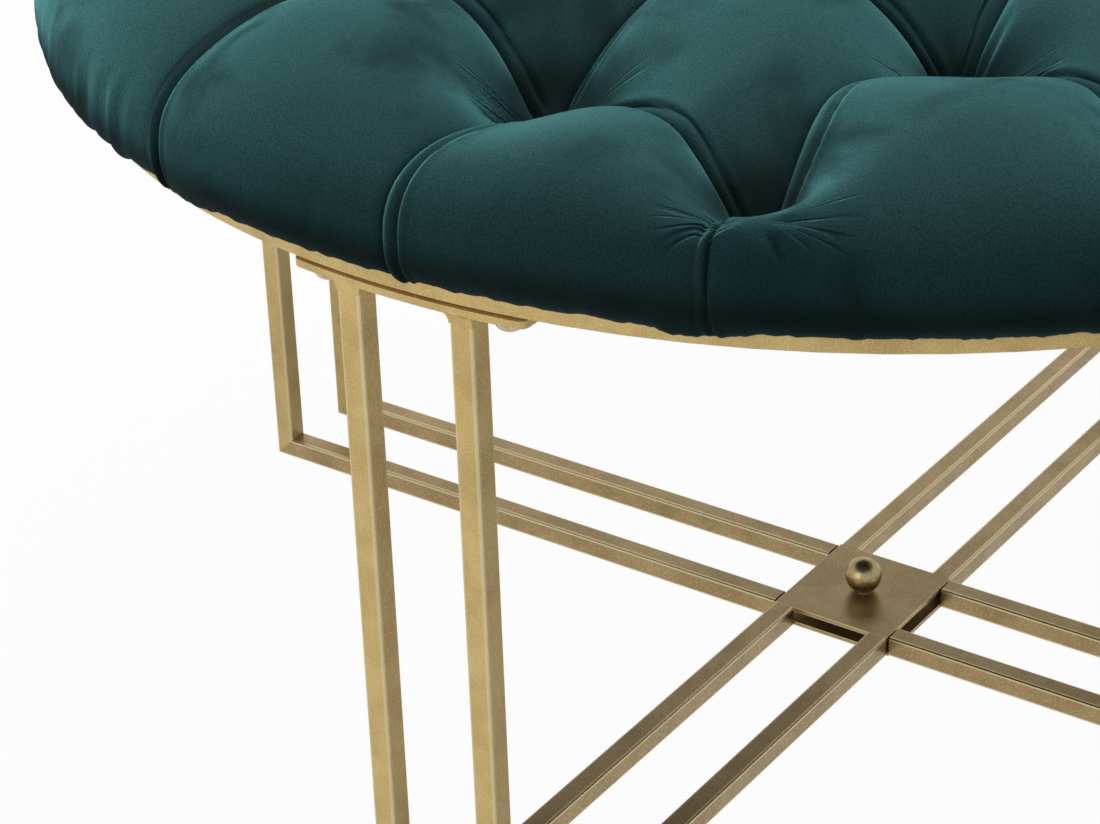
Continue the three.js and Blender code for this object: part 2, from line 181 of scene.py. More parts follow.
def mathNode(tree, operation, a, b=None, clamp=False):
    inputs = {0: a} if b is None else {0: a, 1: b}
    return addNode(tree, "ShaderNodeMath", inputs, operation=operation, use_clamp=clamp).outputs[0]


def times(tree, a, b):
    return mathNode(tree, "MULTIPLY", a, b)


def mixColor(tree, factor, a, b):
    return addNode(tree, "ShaderNodeMix", {"Factor": factor, 6: a, 7: b}, data_type="RGBA").outputs[2]


def noiseNode(tree, vector, scale, detail=2.0, roughness=0.5, distortion=0.0):
    inputs = {"Vector": vector, "Scale": scale, "Detail": detail, "Roughness": roughness, "Distortion": distortion}
    return addNode(tree, "ShaderNodeTexNoise", inputs).outputs["Fac"]


def rampNode(tree, value, low, high, toLow=0.0, toHigh=1.0):
    inputs = {"Value": value, "From Min": low, "From Max": high, "To Min": toLow, "To Max": toHigh}
    return addNode(tree, "ShaderNodeMapRange", inputs, interpolation_type="SMOOTHSTEP").outputs["Result"]


def readShade(tree, name):
    return addNode(tree, "ShaderNodeAttribute", attribute_name=name).outputs["Fac"]


flakes = dict(
    cloudScale=38.0, cloudBand=(0.35, 0.7), cloudHeight=0.6,
    grainScale=2100.0, grainBand=(0.35, 0.65), grainShare=0.32,
    sparkleScale=1743.0, sparkleBand=(0.62, 0.74), sparkleShare=0.6,
    roughBand=(0.3, 0.7), roughSpan=(-0.06, 0.1),
)


def makeFlakeGroup():
    # metallic paint: fine bright flakes over a slowly varying coat
    group, given, made = newGroup(
        "flakePaint",
        [("Vector", "Vector", None), ("Coat", "Color", (0.5, 0.4, 0.2, 1)), ("Shade", "Color", (0.3, 0.2, 0.1, 1)),
         ("Flake", "Color", (0.9, 0.8, 0.6, 1)), ("Roughness", "Float", 0.4)],
        [("Color", "Color"), ("Roughness", "Float"), ("Height", "Float")],
    )
    place, shade = given.outputs["Vector"], given.outputs["Shade"]
    cloudy = noiseNode(group, place, flakes["cloudScale"], 3.0, 0.55)
    grain = noiseNode(group, place, flakes["grainScale"], 2.0, 0.6)
    sparkle = noiseNode(group, place, flakes["sparkleScale"], 0.0)
    coat = mixColor(group, rampNode(group, cloudy, *flakes["cloudBand"]), given.outputs["Coat"], shade)
    grained = mixColor(group, rampNode(group, grain, *flakes["grainBand"], 0.0, flakes["grainShare"]), coat, shade)
    sparkling = rampNode(group, sparkle, *flakes["sparkleBand"], 0.0, flakes["sparkleShare"])
    uneven = rampNode(group, grain, *flakes["roughBand"], *flakes["roughSpan"])
    feedAll(group, made, {
        "Color": mixColor(group, sparkling, grained, given.outputs["Flake"]),
        "Roughness": mathNode(group, "ADD", given.outputs["Roughness"], uneven, clamp=True),
        "Height": mathNode(group, "ADD", grain, times(group, cloudy, flakes["cloudHeight"])),
    })
    return group


wear = dict(blotchBand=(0.52, 0.72), detail=5.0, roughness=0.65, distortion=0.4)


def makeWearGroup():
    # smudges and small scuffs that any finish picks up
    group, given, made = newGroup(
        "handling",
        [("Vector", "Vector", None), ("Color", "Color", (0.5, 0.5, 0.5, 1)), ("Dirt", "Color", (0.1, 0.08, 0.05, 1)),
         ("Amount", "Float", 0.3), ("Scale", "Float", 60.0)],
        [("Color", "Color")],
    )
    blotch = noiseNode(group, given.outputs["Vector"], given.outputs["Scale"],
                       wear["detail"], wear["roughness"], wear["distortion"])
    mask = times(group, rampNode(group, blotch, *wear["blotchBand"]), given.outputs["Amount"])
    feedAll(group, made, {"Color": mixColor(group, mask, given.outputs["Color"], given.outputs["Dirt"])})
    return group


flakePaint = makeFlakeGroup()
handling = makeWearGroup()


def startMaterial(name):
    material = bpy.data.materials.new(name)
    material.use_nodes = True
    tree = material.node_tree
    shader = tree.nodes["Principled BSDF"]
    place = tree.nodes.new("ShaderNodeTexCoord").outputs["Object"]
    return material, tree, shader, place


def placeGroup(tree, group, **inputs):
    return addNode(tree, "ShaderNodeGroup", inputs, node_tree=group)


def addBump(tree, shader, height, strength, distance):
    bump = addNode(tree, "ShaderNodeBump", {"Height": height, "Strength": strength, "Distance": distance})
    feedAll(tree, shader, {"Normal": bump.outputs["Normal"]})


goldFinish = dict(
    coat=(0.84, 0.61, 0.235, 1), shade=(0.66, 0.455, 0.15, 1), flake=(1.0, 0.88, 0.54, 1),
    metallic=0.2, roughness=0.42, specular=0.3, smudges=0.35, smudgeScale=70.0,
    bump=0.12, bumpHeight=0.0003, edgeHighlight=0.45,
)
# painted shade: the gold paint again, darker, for the floor bars and cross plates that stand under the seat
shadedGoldFinish = dict(
    coat=(0.40, 0.29, 0.135, 1), shade=(0.30, 0.21, 0.09, 1), flake=(0.72, 0.58, 0.33, 1),
    metallic=0.75, roughness=0.33, specular=0.3, smudges=0.35, smudgeScale=70.0,
    bump=0.06, bumpHeight=0.0002, edgeHighlight=0.9,
)


def paintMaterial(name, finish):
    material, tree, shader, place = startMaterial(name)
    paint = placeGroup(tree, flakePaint, Vector=place, Coat=finish["coat"], Shade=finish["shade"],
                       Flake=finish["flake"], Roughness=finish["roughness"])
    worn = placeGroup(tree, handling, Vector=place, Color=paint.outputs["Color"], Dirt=finish["shade"],
                      Amount=finish["smudges"], Scale=finish["smudgeScale"])
    # painted highlight along the arrises: the paint is mixed brighter there
    edgeHighlight = times(tree, readShade(tree, "arris"), finish["edgeHighlight"])
    feedAll(tree, shader, {
        "Base Color": mixColor(tree, edgeHighlight, worn.outputs["Color"], finish["flake"]),
        "Roughness": paint.outputs["Roughness"],
        "Metallic": finish["metallic"],
        "Specular IOR Level": finish["specular"],
    })
    addBump(tree, shader, paint.outputs["Height"], finish["bump"], finish["bumpHeight"])
    return material


brassFinish = dict(
    light=(0.35, 0.28, 0.14, 1), dark=(0.2, 0.145, 0.065, 1), tarnish=0.7, tarnishScale=55.0, metallic=1.0,
    roughness=(0.24, 0.38), roughBand=(0.3, 0.7), roughScale=300.0, bump=0.02, bumpScale=420.0, bumpHeight=0.0002,
)
steelFinish = dict(
    light=(0.58, 0.50, 0.31, 1), dark=(0.34, 0.27, 0.15, 1), tarnish=0.6, tarnishScale=160.0, metallic=0.9,
    roughness=(0.3, 0.5), roughBand=(0.3, 0.7), roughScale=500.0, bump=0.1, bumpScale=900.0, bumpHeight=0.0002,
)


def metalMaterial(name, finish):
    material, tree, shader, place = startMaterial(name)
    worn = placeGroup(tree, handling, Vector=place, Color=finish["light"], Dirt=finish["dark"],
                      Amount=finish["tarnish"], Scale=finish["tarnishScale"])
    uneven = noiseNode(tree, place, finish["roughScale"], 3.0)
    feedAll(tree, shader, {
        "Base Color": worn.outputs["Color"],
        "Roughness": rampNode(tree, uneven, *finish["roughBand"], *finish["roughness"]),
        "Metallic": finish["metallic"],
    })
    addBump(tree, shader, noiseNode(tree, place, finish["bumpScale"]), finish["bump"], finish["bumpHeight"])
    return material


plyFinish = dict(
    light=(0.60, 0.43, 0.25, 1), dark=(0.40, 0.26, 0.13, 1), stretch=(3.0, 42.0, 42.0), grainScale=5.0,
    grainBand=(0.3, 0.75), grainShare=0.6, veneer=0.0022, veneerEdge=(0.00099, 0.00121), veneerShare=0.2,
    roughBand=(0.2, 0.8), roughness=(0.6, 0.8), bump=0.25, bumpHeight=0.0005,
)


def plywoodMaterial(finish):
    material, tree, shader, place = startMaterial("plywood")
    stretch = addNode(tree, "ShaderNodeMapping", {"Vector": place, "Scale": finish["stretch"]})
    grain = noiseNode(tree, stretch.outputs["Vector"], finish["grainScale"], 6.0, 0.65, 0.6)
    apart = addNode(tree, "ShaderNodeSeparateXYZ", {0: place})
    layer = mathNode(tree, "PINGPONG", apart.outputs["Z"], finish["veneer"])
    plies = rampNode(tree, layer, *finish["veneerEdge"], 0.0, finish["veneerShare"])
    streaks = rampNode(tree, grain, *finish["grainBand"], 0.0, finish["grainShare"])
    shadeBy = mathNode(tree, "ADD", streaks, plies)
    feedAll(tree, shader, {
        "Base Color": mixColor(tree, shadeBy, finish["light"], finish["dark"]),
        "Roughness": rampNode(tree, grain, *finish["roughBand"], *finish["roughness"]),
    })
    addBump(tree, shader, grain, finish["bump"], finish["bumpHeight"])
    return material


clothFinish = dict(
    light=(0.035, 0.034, 0.033, 1), dark=(0.008, 0.008, 0.009, 1), cellScale=520.0, cellBand=(0.1, 0.6),
    cloudScale=30.0, cloudBand=(0.3, 0.7), cloudShares=(0.5, 1.0), roughBand=(0.2, 0.8), roughness=(0.85, 0.98),
    bump=0.5, bumpHeight=0.0003,
)


def dustClothMaterial(finish):
    material, tree, shader, place = startMaterial("dustCloth")
    cells = addNode(tree, "ShaderNodeTexVoronoi", {"Vector": place, "Scale": finish["cellScale"]})
    cloudy = noiseNode(tree, place, finish["cloudScale"], 4.0)
    fibres = rampNode(tree, cells.outputs["Distance"], *finish["cellBand"])
    shadeBy = times(tree, fibres, rampNode(tree, cloudy, *finish["cloudBand"], *finish["cloudShares"]))
    feedAll(tree, shader, {
        "Base Color": mixColor(tree, shadeBy, finish["dark"], finish["light"]),
        "Roughness": rampNode(tree, cloudy, *finish["roughBand"], *finish["roughness"]),
    })
    addBump(tree, shader, cells.outputs["Distance"], finish["bump"], finish["bumpHeight"])
    return material


# crease is the colour of painted shade, mixed in at folds, wells, wrinkles and hollows; unlit takes the sheen away
# there too
velvetFinish = dict(
    deep=(0.0022, 0.0110, 0.0112, 1), body=(0.0080, 0.0350, 0.0345, 1),
    brushed=(0.0030, 0.0130, 0.0130, 1), crease=(0.0006, 0.0026, 0.0028, 1),
    sheen=0.95, sheenTint=(0.26, 0.80, 0.80, 1), sheenRoughness=0.46, specular=0.1,
    pileScale=1250.0, pileBand=(0.35, 0.65), napShares=(1.05, 0.66), speckle=0.7,
    cloudScale=9.0, cloudBand=(0.3, 0.7), deepShare=0.5, roughness=(0.82, 0.96),
    smudgeScale=15.0, smudgeBand=(0.47, 0.62), smudgeClouds=(0.42, 0.58), smudgeShare=0.8, flattened=0.6,
    hollowShare=0.95, puckerShadeShare=0.65, paintedShadeShare=0.92, unlit=0.95,
    pileHeight=0.2, puckerDepth=1.35, bump=0.8, bumpHeight=0.0014,
    wrinkleTurns=8.5, wrinkleDrift=0.016, wrinkleLine=0.11, wrinkleStart=(7.0, 14.0), wrinkleEnd=(20.0, 44.0),
)


def puckerLines(tree, finish):
    # fine wrinkles that run out from a button: level lines of a noise laid round it
    offset = addNode(tree, "ShaderNodeAttribute", attribute_name="fromButton")
    parts = addNode(tree, "ShaderNodeSeparateXYZ", {0: offset.outputs["Vector"]})
    plan = addNode(tree, "ShaderNodeCombineXYZ", {axis: parts.outputs[axis] for axis in ("X", "Y")}).outputs[0]
    distance = addNode(tree, "ShaderNodeVectorMath", {0: plan}, operation="LENGTH").outputs["Value"]
    heading = addNode(tree, "ShaderNodeVectorMath", {0: plan}, operation="NORMALIZE").outputs["Vector"]
    ring = addNode(tree, "ShaderNodeVectorMath", {0: heading, "Scale": finish["wrinkleTurns"]}, operation="SCALE")
    drift = addNode(tree, "ShaderNodeCombineXYZ", {"Z": times(tree, distance, finish["wrinkleDrift"])})
    laid = addNode(tree, "ShaderNodeVectorMath", {0: ring.outputs["Vector"], 1: drift.outputs[0]})
    wave = noiseNode(tree, laid.outputs["Vector"], 1.0, 0.0)
    level = mathNode(tree, "ABSOLUTE", mathNode(tree, "SUBTRACT", wave, 0.5))
    line = rampNode(tree, level, 0.0, finish["wrinkleLine"], 1.0, 0.0)
    near = times(tree, rampNode(tree, distance, *finish["wrinkleStart"]),
                 rampNode(tree, distance, *finish["wrinkleEnd"], 1.0, 0.0))
    return times(tree, times(tree, near, parts.outputs["Z"]), line)


def lessBy(tree, value, amount):
    return mathNode(tree, "SUBTRACT", 1.0, times(tree, value, amount))


def velvetMaterial(finish):
    material, tree, shader, place = startMaterial("velvet")
    pile = noiseNode(tree, place, finish["pileScale"], 2.0, 0.7)
    cloudy = noiseNode(tree, place, finish["cloudScale"], 3.0, 0.55, 0.6)
    smudge = noiseNode(tree, place, finish["smudgeScale"], 4.0, 0.5, 0.3)
    brushed = times(tree, rampNode(tree, smudge, *finish["smudgeBand"]),
                    rampNode(tree, cloudy, *finish["smudgeClouds"]))
    pucker = puckerLines(tree, finish)
    # painted shade: darker in folds, at the wells, in hollows and along the fine wrinkles
    dark = mathNode(tree, "MAXIMUM", readShade(tree, "foldShade"),
                    times(tree, readShade(tree, "hollow"), finish["hollowShare"]))
    dark = mathNode(tree, "MAXIMUM", dark, times(tree, pucker, finish["puckerShadeShare"]))
    deeper = rampNode(tree, cloudy, *finish["cloudBand"], 0.0, finish["deepShare"])
    base = mixColor(tree, deeper, finish["body"], finish["deep"])
    smudged = mixColor(tree, times(tree, brushed, finish["smudgeShare"]), base, finish["brushed"])
    grain = times(tree, rampNode(tree, pile, *finish["pileBand"]), finish["speckle"])
    speckled = mixColor(tree, grain, smudged, finish["deep"])
    nap = times(tree, lessBy(tree, brushed, finish["flattened"]),
                rampNode(tree, pile, *finish["pileBand"], *(finish["sheen"] * part for part in finish["napShares"])))
    feedAll(tree, shader, {
        "Base Color": mixColor(tree, times(tree, dark, finish["paintedShadeShare"]), speckled, finish["crease"]),
        "Roughness": rampNode(tree, cloudy, *finish["cloudBand"], *finish["roughness"]),
        "Specular IOR Level": finish["specular"],
        # the painted shade also takes away sheen
        "Sheen Weight": times(tree, nap, lessBy(tree, dark, finish["unlit"])),
        "Sheen Tint": finish["sheenTint"],
        "Sheen Roughness": finish["sheenRoughness"],
    })
    height = mathNode(tree, "SUBTRACT", times(tree, pile, finish["pileHeight"]),
                      times(tree, pucker, finish["puckerDepth"]))
    addBump(tree, shader, height, finish["bump"], finish["bumpHeight"])
    return material


goldPaint = paintMaterial("goldPaint", goldFinish)
shadedGoldPaint = paintMaterial("shadedGoldPaint", shadedGoldFinish)
antiqueBrass = metalMaterial("antiqueBrass", brassFinish)
boltSteel = metalMaterial("boltSteel", steelFinish)
plywood = plywoodMaterial(plyFinish)
dustCloth = dustClothMaterial(clothFinish)
velvet = velvetMaterial(velvetFinish)
print("stage: materials")


# Cushion. Plan places are in millimetres in the tufting's own frame: x to the photograph's
# right, y away from the camera, z up from the cushion's base.

cushion = dict(
    base=377.8, heading=54.16, radius=416.0, footRadius=402.0, widestHeight=18.0, crown=88.0, dome=27.0,
    rowCounts=(2, 3, 4, 5, 4, 3, 2), columnPitch=158.0, outerColumnPitch=172.0, rowPitch=119.0,
    wellDepth=56.0, foldDepth=27.0, wellRadius=10.0, funnelLength=27.0,
    pleatDepth=18.0, pleatInset=6.0, pleatReach=92.0, pleatEnd=20.0, puffReach=75.0,
    puffPower=0.36, shoulder=2.7, wellFade=3,
    pleatDrift={(1, 3): 2.5, (2, 2): 1.2, (3, 1): -9.1},
    pleatStrength={(1, 3): 0.45},
    tiedOff={(-2, -2): (-8.4, 0.0), (0, -2): (8.0, 0.0)},  # buttons that sit a little off the grid
    wideWells={(-2, -2): 1.5, (0, -2): 1.12},
)
foldLength = 142.8
nearShares = np.array([0, 1.3, 2.9, 4.8, 7.2, 10.2, 14, 18.5, 23.5, 29, 35, 41.5, 48.5, 56, 63.5, 71.4]) / foldLength
foldShares = np.concatenate([nearShares, 1 - nearShares[-2::-1]])
topShares = np.array([0, 0.01, 0.022, 0.037, 0.055, 0.077, 0.103, 0.133,
                      0.168, 0.208, 0.252, 0.3, 0.352, 0.408, 0.468, 0.53])
turnSteps = 14
dropShares = (0.15, 0.32, 0.5, 0.68, 0.84, 0.94, 1.0)


def crownAt(r):
    return cushion["crown"] - cushion["dome"] * (r / cushion["radius"]) ** 2


def share(x):
    return np.clip(x, 0, 1)


def easeIn(x):
    x = share(x)
    return x * x * (3 - 2 * x)


def fadeIn(x, start, width):
    return easeIn((x - start) / width)


def fadeOut(x, end, width):
    return easeIn((end - x) / width)


def bell(x):
    return np.exp(-x * x)


def roll(x):
    # cross-section of a puff beside a fold: steep at the fold, level at the end of its reach
    return (1 - (1 - share(x)) ** 2) ** cushion["puffPower"]


def dipAt(fromWell, puff):
    # a fold's depth where nothing puffs it up, and what is left of the well's extra depth
    well = cushion["wellDepth"] - cushion["foldDepth"]
    funnel = np.exp(-np.maximum(fromWell - cushion["wellRadius"], 0) / cushion["funnelLength"])
    return cushion["foldDepth"] * (1 - puff) + well * funnel


class Tuft:
    def __init__(self, column, row, pitch):
        self.key = (column, row)
        self.even = (abs(column), abs(row))
        self.gridPlace = np.array([column * pitch / 2, row * cushion["rowPitch"]])
        self.place = self.gridPlace + cushion["tiedOff"].get(self.key, (0, 0))


def layTufts():
    outerRow = (len(cushion["rowCounts"]) - 1) // 2
    tufts = {}
    for index, count in enumerate(cushion["rowCounts"]):
        row = index - outerRow
        pitch = cushion["outerColumnPitch"] if abs(row) == outerRow else cushion["columnPitch"]
        for column in range(1 - count, count, 2):
            tufts[(column, row)] = Tuft(column, row, pitch)
    return tufts


def findDiamonds(tufts):
    diamonds = []
    for column, row in tufts:
        corners = [tufts.get((column + dx, row + dy)) for dx, dy in ((0, 0), (1, 1), (0, 2), (-1, 1))]
        if all(corners):
            diamonds.append(corners)
    return diamonds


def findRim(diamonds):
    folds = {}
    for corners in diamonds:
        for i in range(4):
            folds[(corners[i].key, corners[(i + 1) % 4].key)] = (corners[i], corners[(i + 1) % 4])
    follow = {a.key: b for (ka, kb), (a, b) in folds.items() if (kb, ka) not in folds}
    start = folds[next(k for k in folds if (k[1], k[0]) not in folds)][0]
    ring = [start]
    while follow[ring[-1].key] is not start:
        ring.append(follow[ring[-1].key])
    for tuft in ring:
        x, y = tuft.gridPlace
        turn = math.atan2(abs(x), abs(y)) + math.radians(cushion["pleatDrift"].get(tuft.even, 0))
        tuft.outward = np.array([np.sign(x) * math.sin(turn), np.sign(y) * math.cos(turn)])
        tuft.pleated = sum(tuft in corners for corners in diamonds) < 3
    return ring


tufts = layTufts()
diamonds = findDiamonds(tufts)
rim = findRim(diamonds)


def nearestWell(place):
    gaps = [np.linalg.norm(place - well.place, axis=-1) / cushion["wideWells"].get(well.key, 1)
            for well in tufts.values()]
    return np.min(gaps, axis=0)


def fromFold(place, a, b):
    along = b.place - a.place
    t = share((place - a.place) @ along / (along @ along))
    return np.linalg.norm(place - a.place - t[..., None] * along, axis=-1)


def diamondPatch(corners):
    low, right, high, left = corners
    s, t = np.meshgrid(foldShares, foldShares, indexing="ij")
    place = sum(weight[..., None] * corner.place for weight, corner in
                (((1 - s) * (1 - t), low), (s * (1 - t), right), (s * t, high), ((1 - s) * t, left)))
    puff = 1.0
    for i in range(4):
        puff = puff * roll(fromFold(place, corners[i], corners[(i + 1) % 4]) / cushion["puffReach"])
    height = crownAt(np.linalg.norm(place, axis=2)) - dipAt(nearestWell(place), puff)
    return np.concatenate([place, height[..., None]], axis=2)


def rimPatch(before, a, b, after):
    # from the outermost fold, over the shoulder and down the side to the foot
    power = cushion["shoulder"]
    firstTurn = math.asin(topShares[-1] ** (power / 2))
    turns = np.linspace(firstTurn, math.pi / 2, turnSteps + 1)[1:]
    foldPlace = a.place + np.outer(foldShares, b.place - a.place)
    crown = crownAt(np.linalg.norm(foldPlace, axis=1))
    angleA, angleB = (math.atan2(p.outward[1], p.outward[0]) for p in (a, b))
    turn = (angleB - angleA) % (2 * math.pi)
    angle = angleA + turn * foldShares
    outward = np.column_stack([np.cos(angle), np.sin(angle)])
    across = turn * cushion["radius"]
    folds = [(a, b)]
    puffed = np.ones(len(foldShares))
    for tuft, gap, beyond in ((a, foldShares * across, (before, a)), (b, (1 - foldShares) * across, (b, after))):
        if tuft.pleated:
            strength = cushion["pleatStrength"].get(tuft.even, 1)
            puffed = np.minimum(puffed, 1 - strength * (1 - roll(gap / cushion["puffReach"])))
        else:
            folds.append(beyond)
    widest = outward * (cushion["radius"] - cushion["pleatInset"] * (1 - puffed))[:, None]
    length = np.linalg.norm(widest - foldPlace, axis=1)
    wide = cushion["widestHeight"]
    rows = []
    for q in np.concatenate([topShares, np.sin(turns) ** (2 / power)]):
        place = foldPlace * (1 - q) + widest * q
        alongPleat = share(q * length / cushion["pleatReach"])
        top = crown - cushion["pleatDepth"] * (1 - puffed) * alongPleat
        shell = wide + (top - wide) * max(1 - q ** power, 0) ** (1 / power)
        puff = puffed + (1 - puffed) * alongPleat
        for fold in folds:
            puff = puff * roll(fromFold(place, *fold) / cushion["puffReach"])
        height = shell - dipAt(nearestWell(place), puff) * (1 - q ** cushion["wellFade"])
        rows.append(np.column_stack([place, crown - dipAt(nearestWell(place), 0) if q == 0 else height]))
    foot = outward * cushion["footRadius"]
    for drop in dropShares:
        out = math.sqrt(max(1 - drop * drop, 0))
        place = foot * (1 - out) + widest * out
        rows.append(np.column_stack([place, np.full(len(place), wide * (1 - drop))]))
    return np.array(rows)


def gridFaces(start, rows, columns):
    faces = []
    for i in range(rows - 1):
        for j in range(columns - 1):
            p = start + i * columns + j
            faces.append((p, p + columns, p + columns + 1, p + 1))
    return faces


def turned(x, y, turn):
    return x * math.cos(turn) - y * math.sin(turn), x * math.sin(turn) + y * math.cos(turn)


def toRow(points):
    # tufting frame in millimetres to the row frame in metres
    x, y = turned(points[:, 0], points[:, 1], -math.radians(cushion["heading"]))
    return np.column_stack([x, y, points[:, 2] + cushion["base"]]) * mm


def toTuft(points):
    x, y, z = (points / mm).T
    return np.column_stack([*turned(x, y, math.radians(cushion["heading"])), z - cushion["base"]])


def readVertices(obj, key):
    values = np.zeros(len(obj.data.vertices) * 3)
    obj.data.vertices.foreach_get(key, values)
    return values.reshape(-1, 3)


def writePoints(obj, points):
    obj.data.vertices.foreach_set("co", points.astype(np.float32).ravel())
    obj.data.update()


def buildPatches():
    patches = [diamondPatch(corners) for corners in diamonds]
    for index in range(len(rim)):
        patches.append(rimPatch(*(rim[(index + step) % len(rim)] for step in (-1, 0, 1, 2))))
    return patches


seamGap = 0.05


def joinPatches(name, patches):
    points, faces = [], []
    for patch in patches:
        faces += gridFaces(len(points), *patch.shape[:2])
        points += [tuple(p) for p in patch.reshape(-1, 3)]
    joined = meshObject(name, toRow(np.array(points)), faces)
    cleanMesh(joined, seamGap * mm)
    return joined


def foldLines():
    # every crease in plan: folds between buttons, and pleats from the outer buttons to the rim
    pairs = {}
    for corners in diamonds:
        for i in range(4):
            a, b = corners[i], corners[(i + 1) % 4]
            pairs[frozenset((a.key, b.key))] = (a, b)
    folds = {key: (a.place, b.place) for key, (a, b) in pairs.items()}
    end = cushion["radius"] + cushion["pleatEnd"]
    pleats = {frozenset((t.key,)): (t.place, t.outward * end) for t in rim if t.pleated}
    return folds, pleats


folds, pleats = foldLines()
creases = {**folds, **pleats}


def measureCrease(plan, start, end):
    # distance along the crease, signed distance across it, length
    along = end - start
    length = np.linalg.norm(along)
    along = along / length
    offset = plan - start
    return offset @ along, along[0] * offset[:, 1] - along[1] * offset[:, 0], length


def fromCreases(plan, lines):
    nearest = np.full(len(plan), np.inf)
    for start, end in lines:
        t, across, length = measureCrease(plan, start, end)
        nearest = np.minimum(nearest, np.hypot(np.maximum(np.maximum(-t, t - length), 0), across))
    return nearest


stuffing = dict(
    pressure=140.0, frames=20, slack=2.0, cap=7.0, creaseHeld=(3.0, 22), footHeld=(12.0, 20), pinned=0.999,
    quality=4, mass=0.3, stretch=10, shear=5, bending=0.5, coarseStep=3, rounds=6,
)


def fillCloth(cloth, loose):
    # a slack cover, tied down at its folds and foot, filled out by the stuffing's pressure
    held = cloth.vertex_groups.new(name="held")
    for index, free in enumerate(loose):
        held.add([index], float(1 - stuffing["pinned"] * free), "REPLACE")
    stuffed = cloth.modifiers.new("stuffing", "CLOTH")
    settings = stuffed.settings
    settings.quality = stuffing["quality"]
    settings.mass = stuffing["mass"]
    settings.tension_stiffness = settings.compression_stiffness = stuffing["stretch"]
    settings.shear_stiffness = stuffing["shear"]
    settings.bending_stiffness = stuffing["bending"]
    settings.use_pressure = True
    settings.uniform_pressure_force = stuffing["pressure"]
    settings.vertex_group_mass = "held"
    settings.effector_weights.gravity = 0
    stuffed.collision_settings.use_collision = False
    stuffed.point_cache.frame_end = stuffing["frames"]
    for step in range(1, stuffing["frames"] + 1):
        bpy.context.scene.frame_set(step)
    filled = readVertices(cloth.evaluated_get(bpy.context.evaluated_depsgraph_get()), "co")
    cloth.modifiers.clear()
    bpy.context.scene.frame_set(1)
    return filled


def spread(field, rows, columns, shape):
    # from the coarse grid to the fine one, then rounded off
    across = np.array([np.interp(np.arange(shape[1]), columns, row) for row in field])
    whole = np.array([np.interp(np.arange(shape[0]), rows, column) for column in across.T]).T
    for _ in range(stuffing["rounds"]):
        whole[1:-1] = (whole[:-2] + 2 * whole[1:-1] + whole[2:]) / 4
        whole[:, 1:-1] = (whole[:, :-2] + 2 * whole[:, 1:-1] + whole[:, 2:]) / 4
    return whole


def stuffPatches(patches):
    columns = range(0, len(foldShares), stuffing["coarseStep"])
    picks = [range(0, len(patch), stuffing["coarseStep"]) for patch in patches]
    coarse = [patch[np.ix_(rows, columns)] for patch, rows in zip(patches, picks)]
    cloth = joinPatches("cushionCloth", coarse)
    start = readVertices(cloth, "co")
    tuft = toTuft(start)
    loose = fadeIn(fromCreases(tuft[:, :2], creases.values()), *stuffing["creaseHeld"])
    loose = loose * fadeIn(tuft[:, 2], *stuffing["footHeld"])
    slack = start - readVertices(cloth, "normal") * (loose * stuffing["slack"] * mm)[:, None]
    writePoints(cloth, slack)
    shift = toTuft(fillCloth(cloth, loose)) - toTuft(slack)
    length = np.linalg.norm(shift, axis=1)
    print(f"stage: cushion cloth, moved {length.max():.1f} mm at most, {length.mean():.1f} on average")
    shift *= np.minimum(1, stuffing["cap"] / np.maximum(length, 1e-9))[:, None]
    shift += toTuft(slack) - tuft
    tree = KDTree(len(tuft))
    for index, point in enumerate(tuft):
        tree.insert(point, index)
    tree.balance()
    stuffed = []
    for patch, part, rows in zip(patches, coarse, picks):
        field = np.array([shift[tree.find(point)[1]] for point in part.reshape(-1, 3)]).reshape(part.shape)
        shape = patch.shape[:2]
        stuffed.append(patch + np.stack([spread(field[..., k], rows, columns, shape) for k in range(3)], axis=2))
    bpy.data.objects.remove(cloth)
    return stuffed


def subdivide(obj):
    finer = obj.modifiers.new("finer", "SUBSURF")
    finer.levels = finer.render_levels = 1
    applyModifiers(obj)
    obj.data.shade_smooth()


def closeUnderside(shell, lift=0.1, inward=(0.9985, 0.985, 0.9, 0.6, 0.3)):
    # done after the subdivision, which is slow round a pole this full
    work = bmesh.new()
    work.from_mesh(shell.data)
    edges = [edge for edge in work.edges if edge.is_boundary]
    for ratio in inward:
        made = bmesh.ops.extrude_edge_only(work, edges=edges)["geom"]
        for v in made:
            if isinstance(v, bmesh.types.BMVert):
                scale = ratio * cushion["footRadius"] * mm / math.hypot(v.co.x, v.co.y)
                v.co.x, v.co.y = v.co.x * scale, v.co.y * scale
                v.co.z = (cushion["base"] + lift) * mm
        edges = [e for e in made if isinstance(e, bmesh.types.BMEdge)]
    middle = work.verts.new((0, 0, (cushion["base"] + lift) * mm))
    for edge in edges:
        work.faces.new((*edge.verts, middle)).smooth = True
    bmesh.ops.recalc_face_normals(work, faces=work.faces)
    work.to_mesh(shell.data)
    work.free()


# Tucks, wrinkles and hem. A tuck is the cover's spare cloth, laid along a fold as a narrow roll
# with a second line beyond it; 1 is the side away from the camera, -1 the side towards it.

def between(*keys):
    # the fold between two buttons, or one button's pleat
    return frozenset(keys)


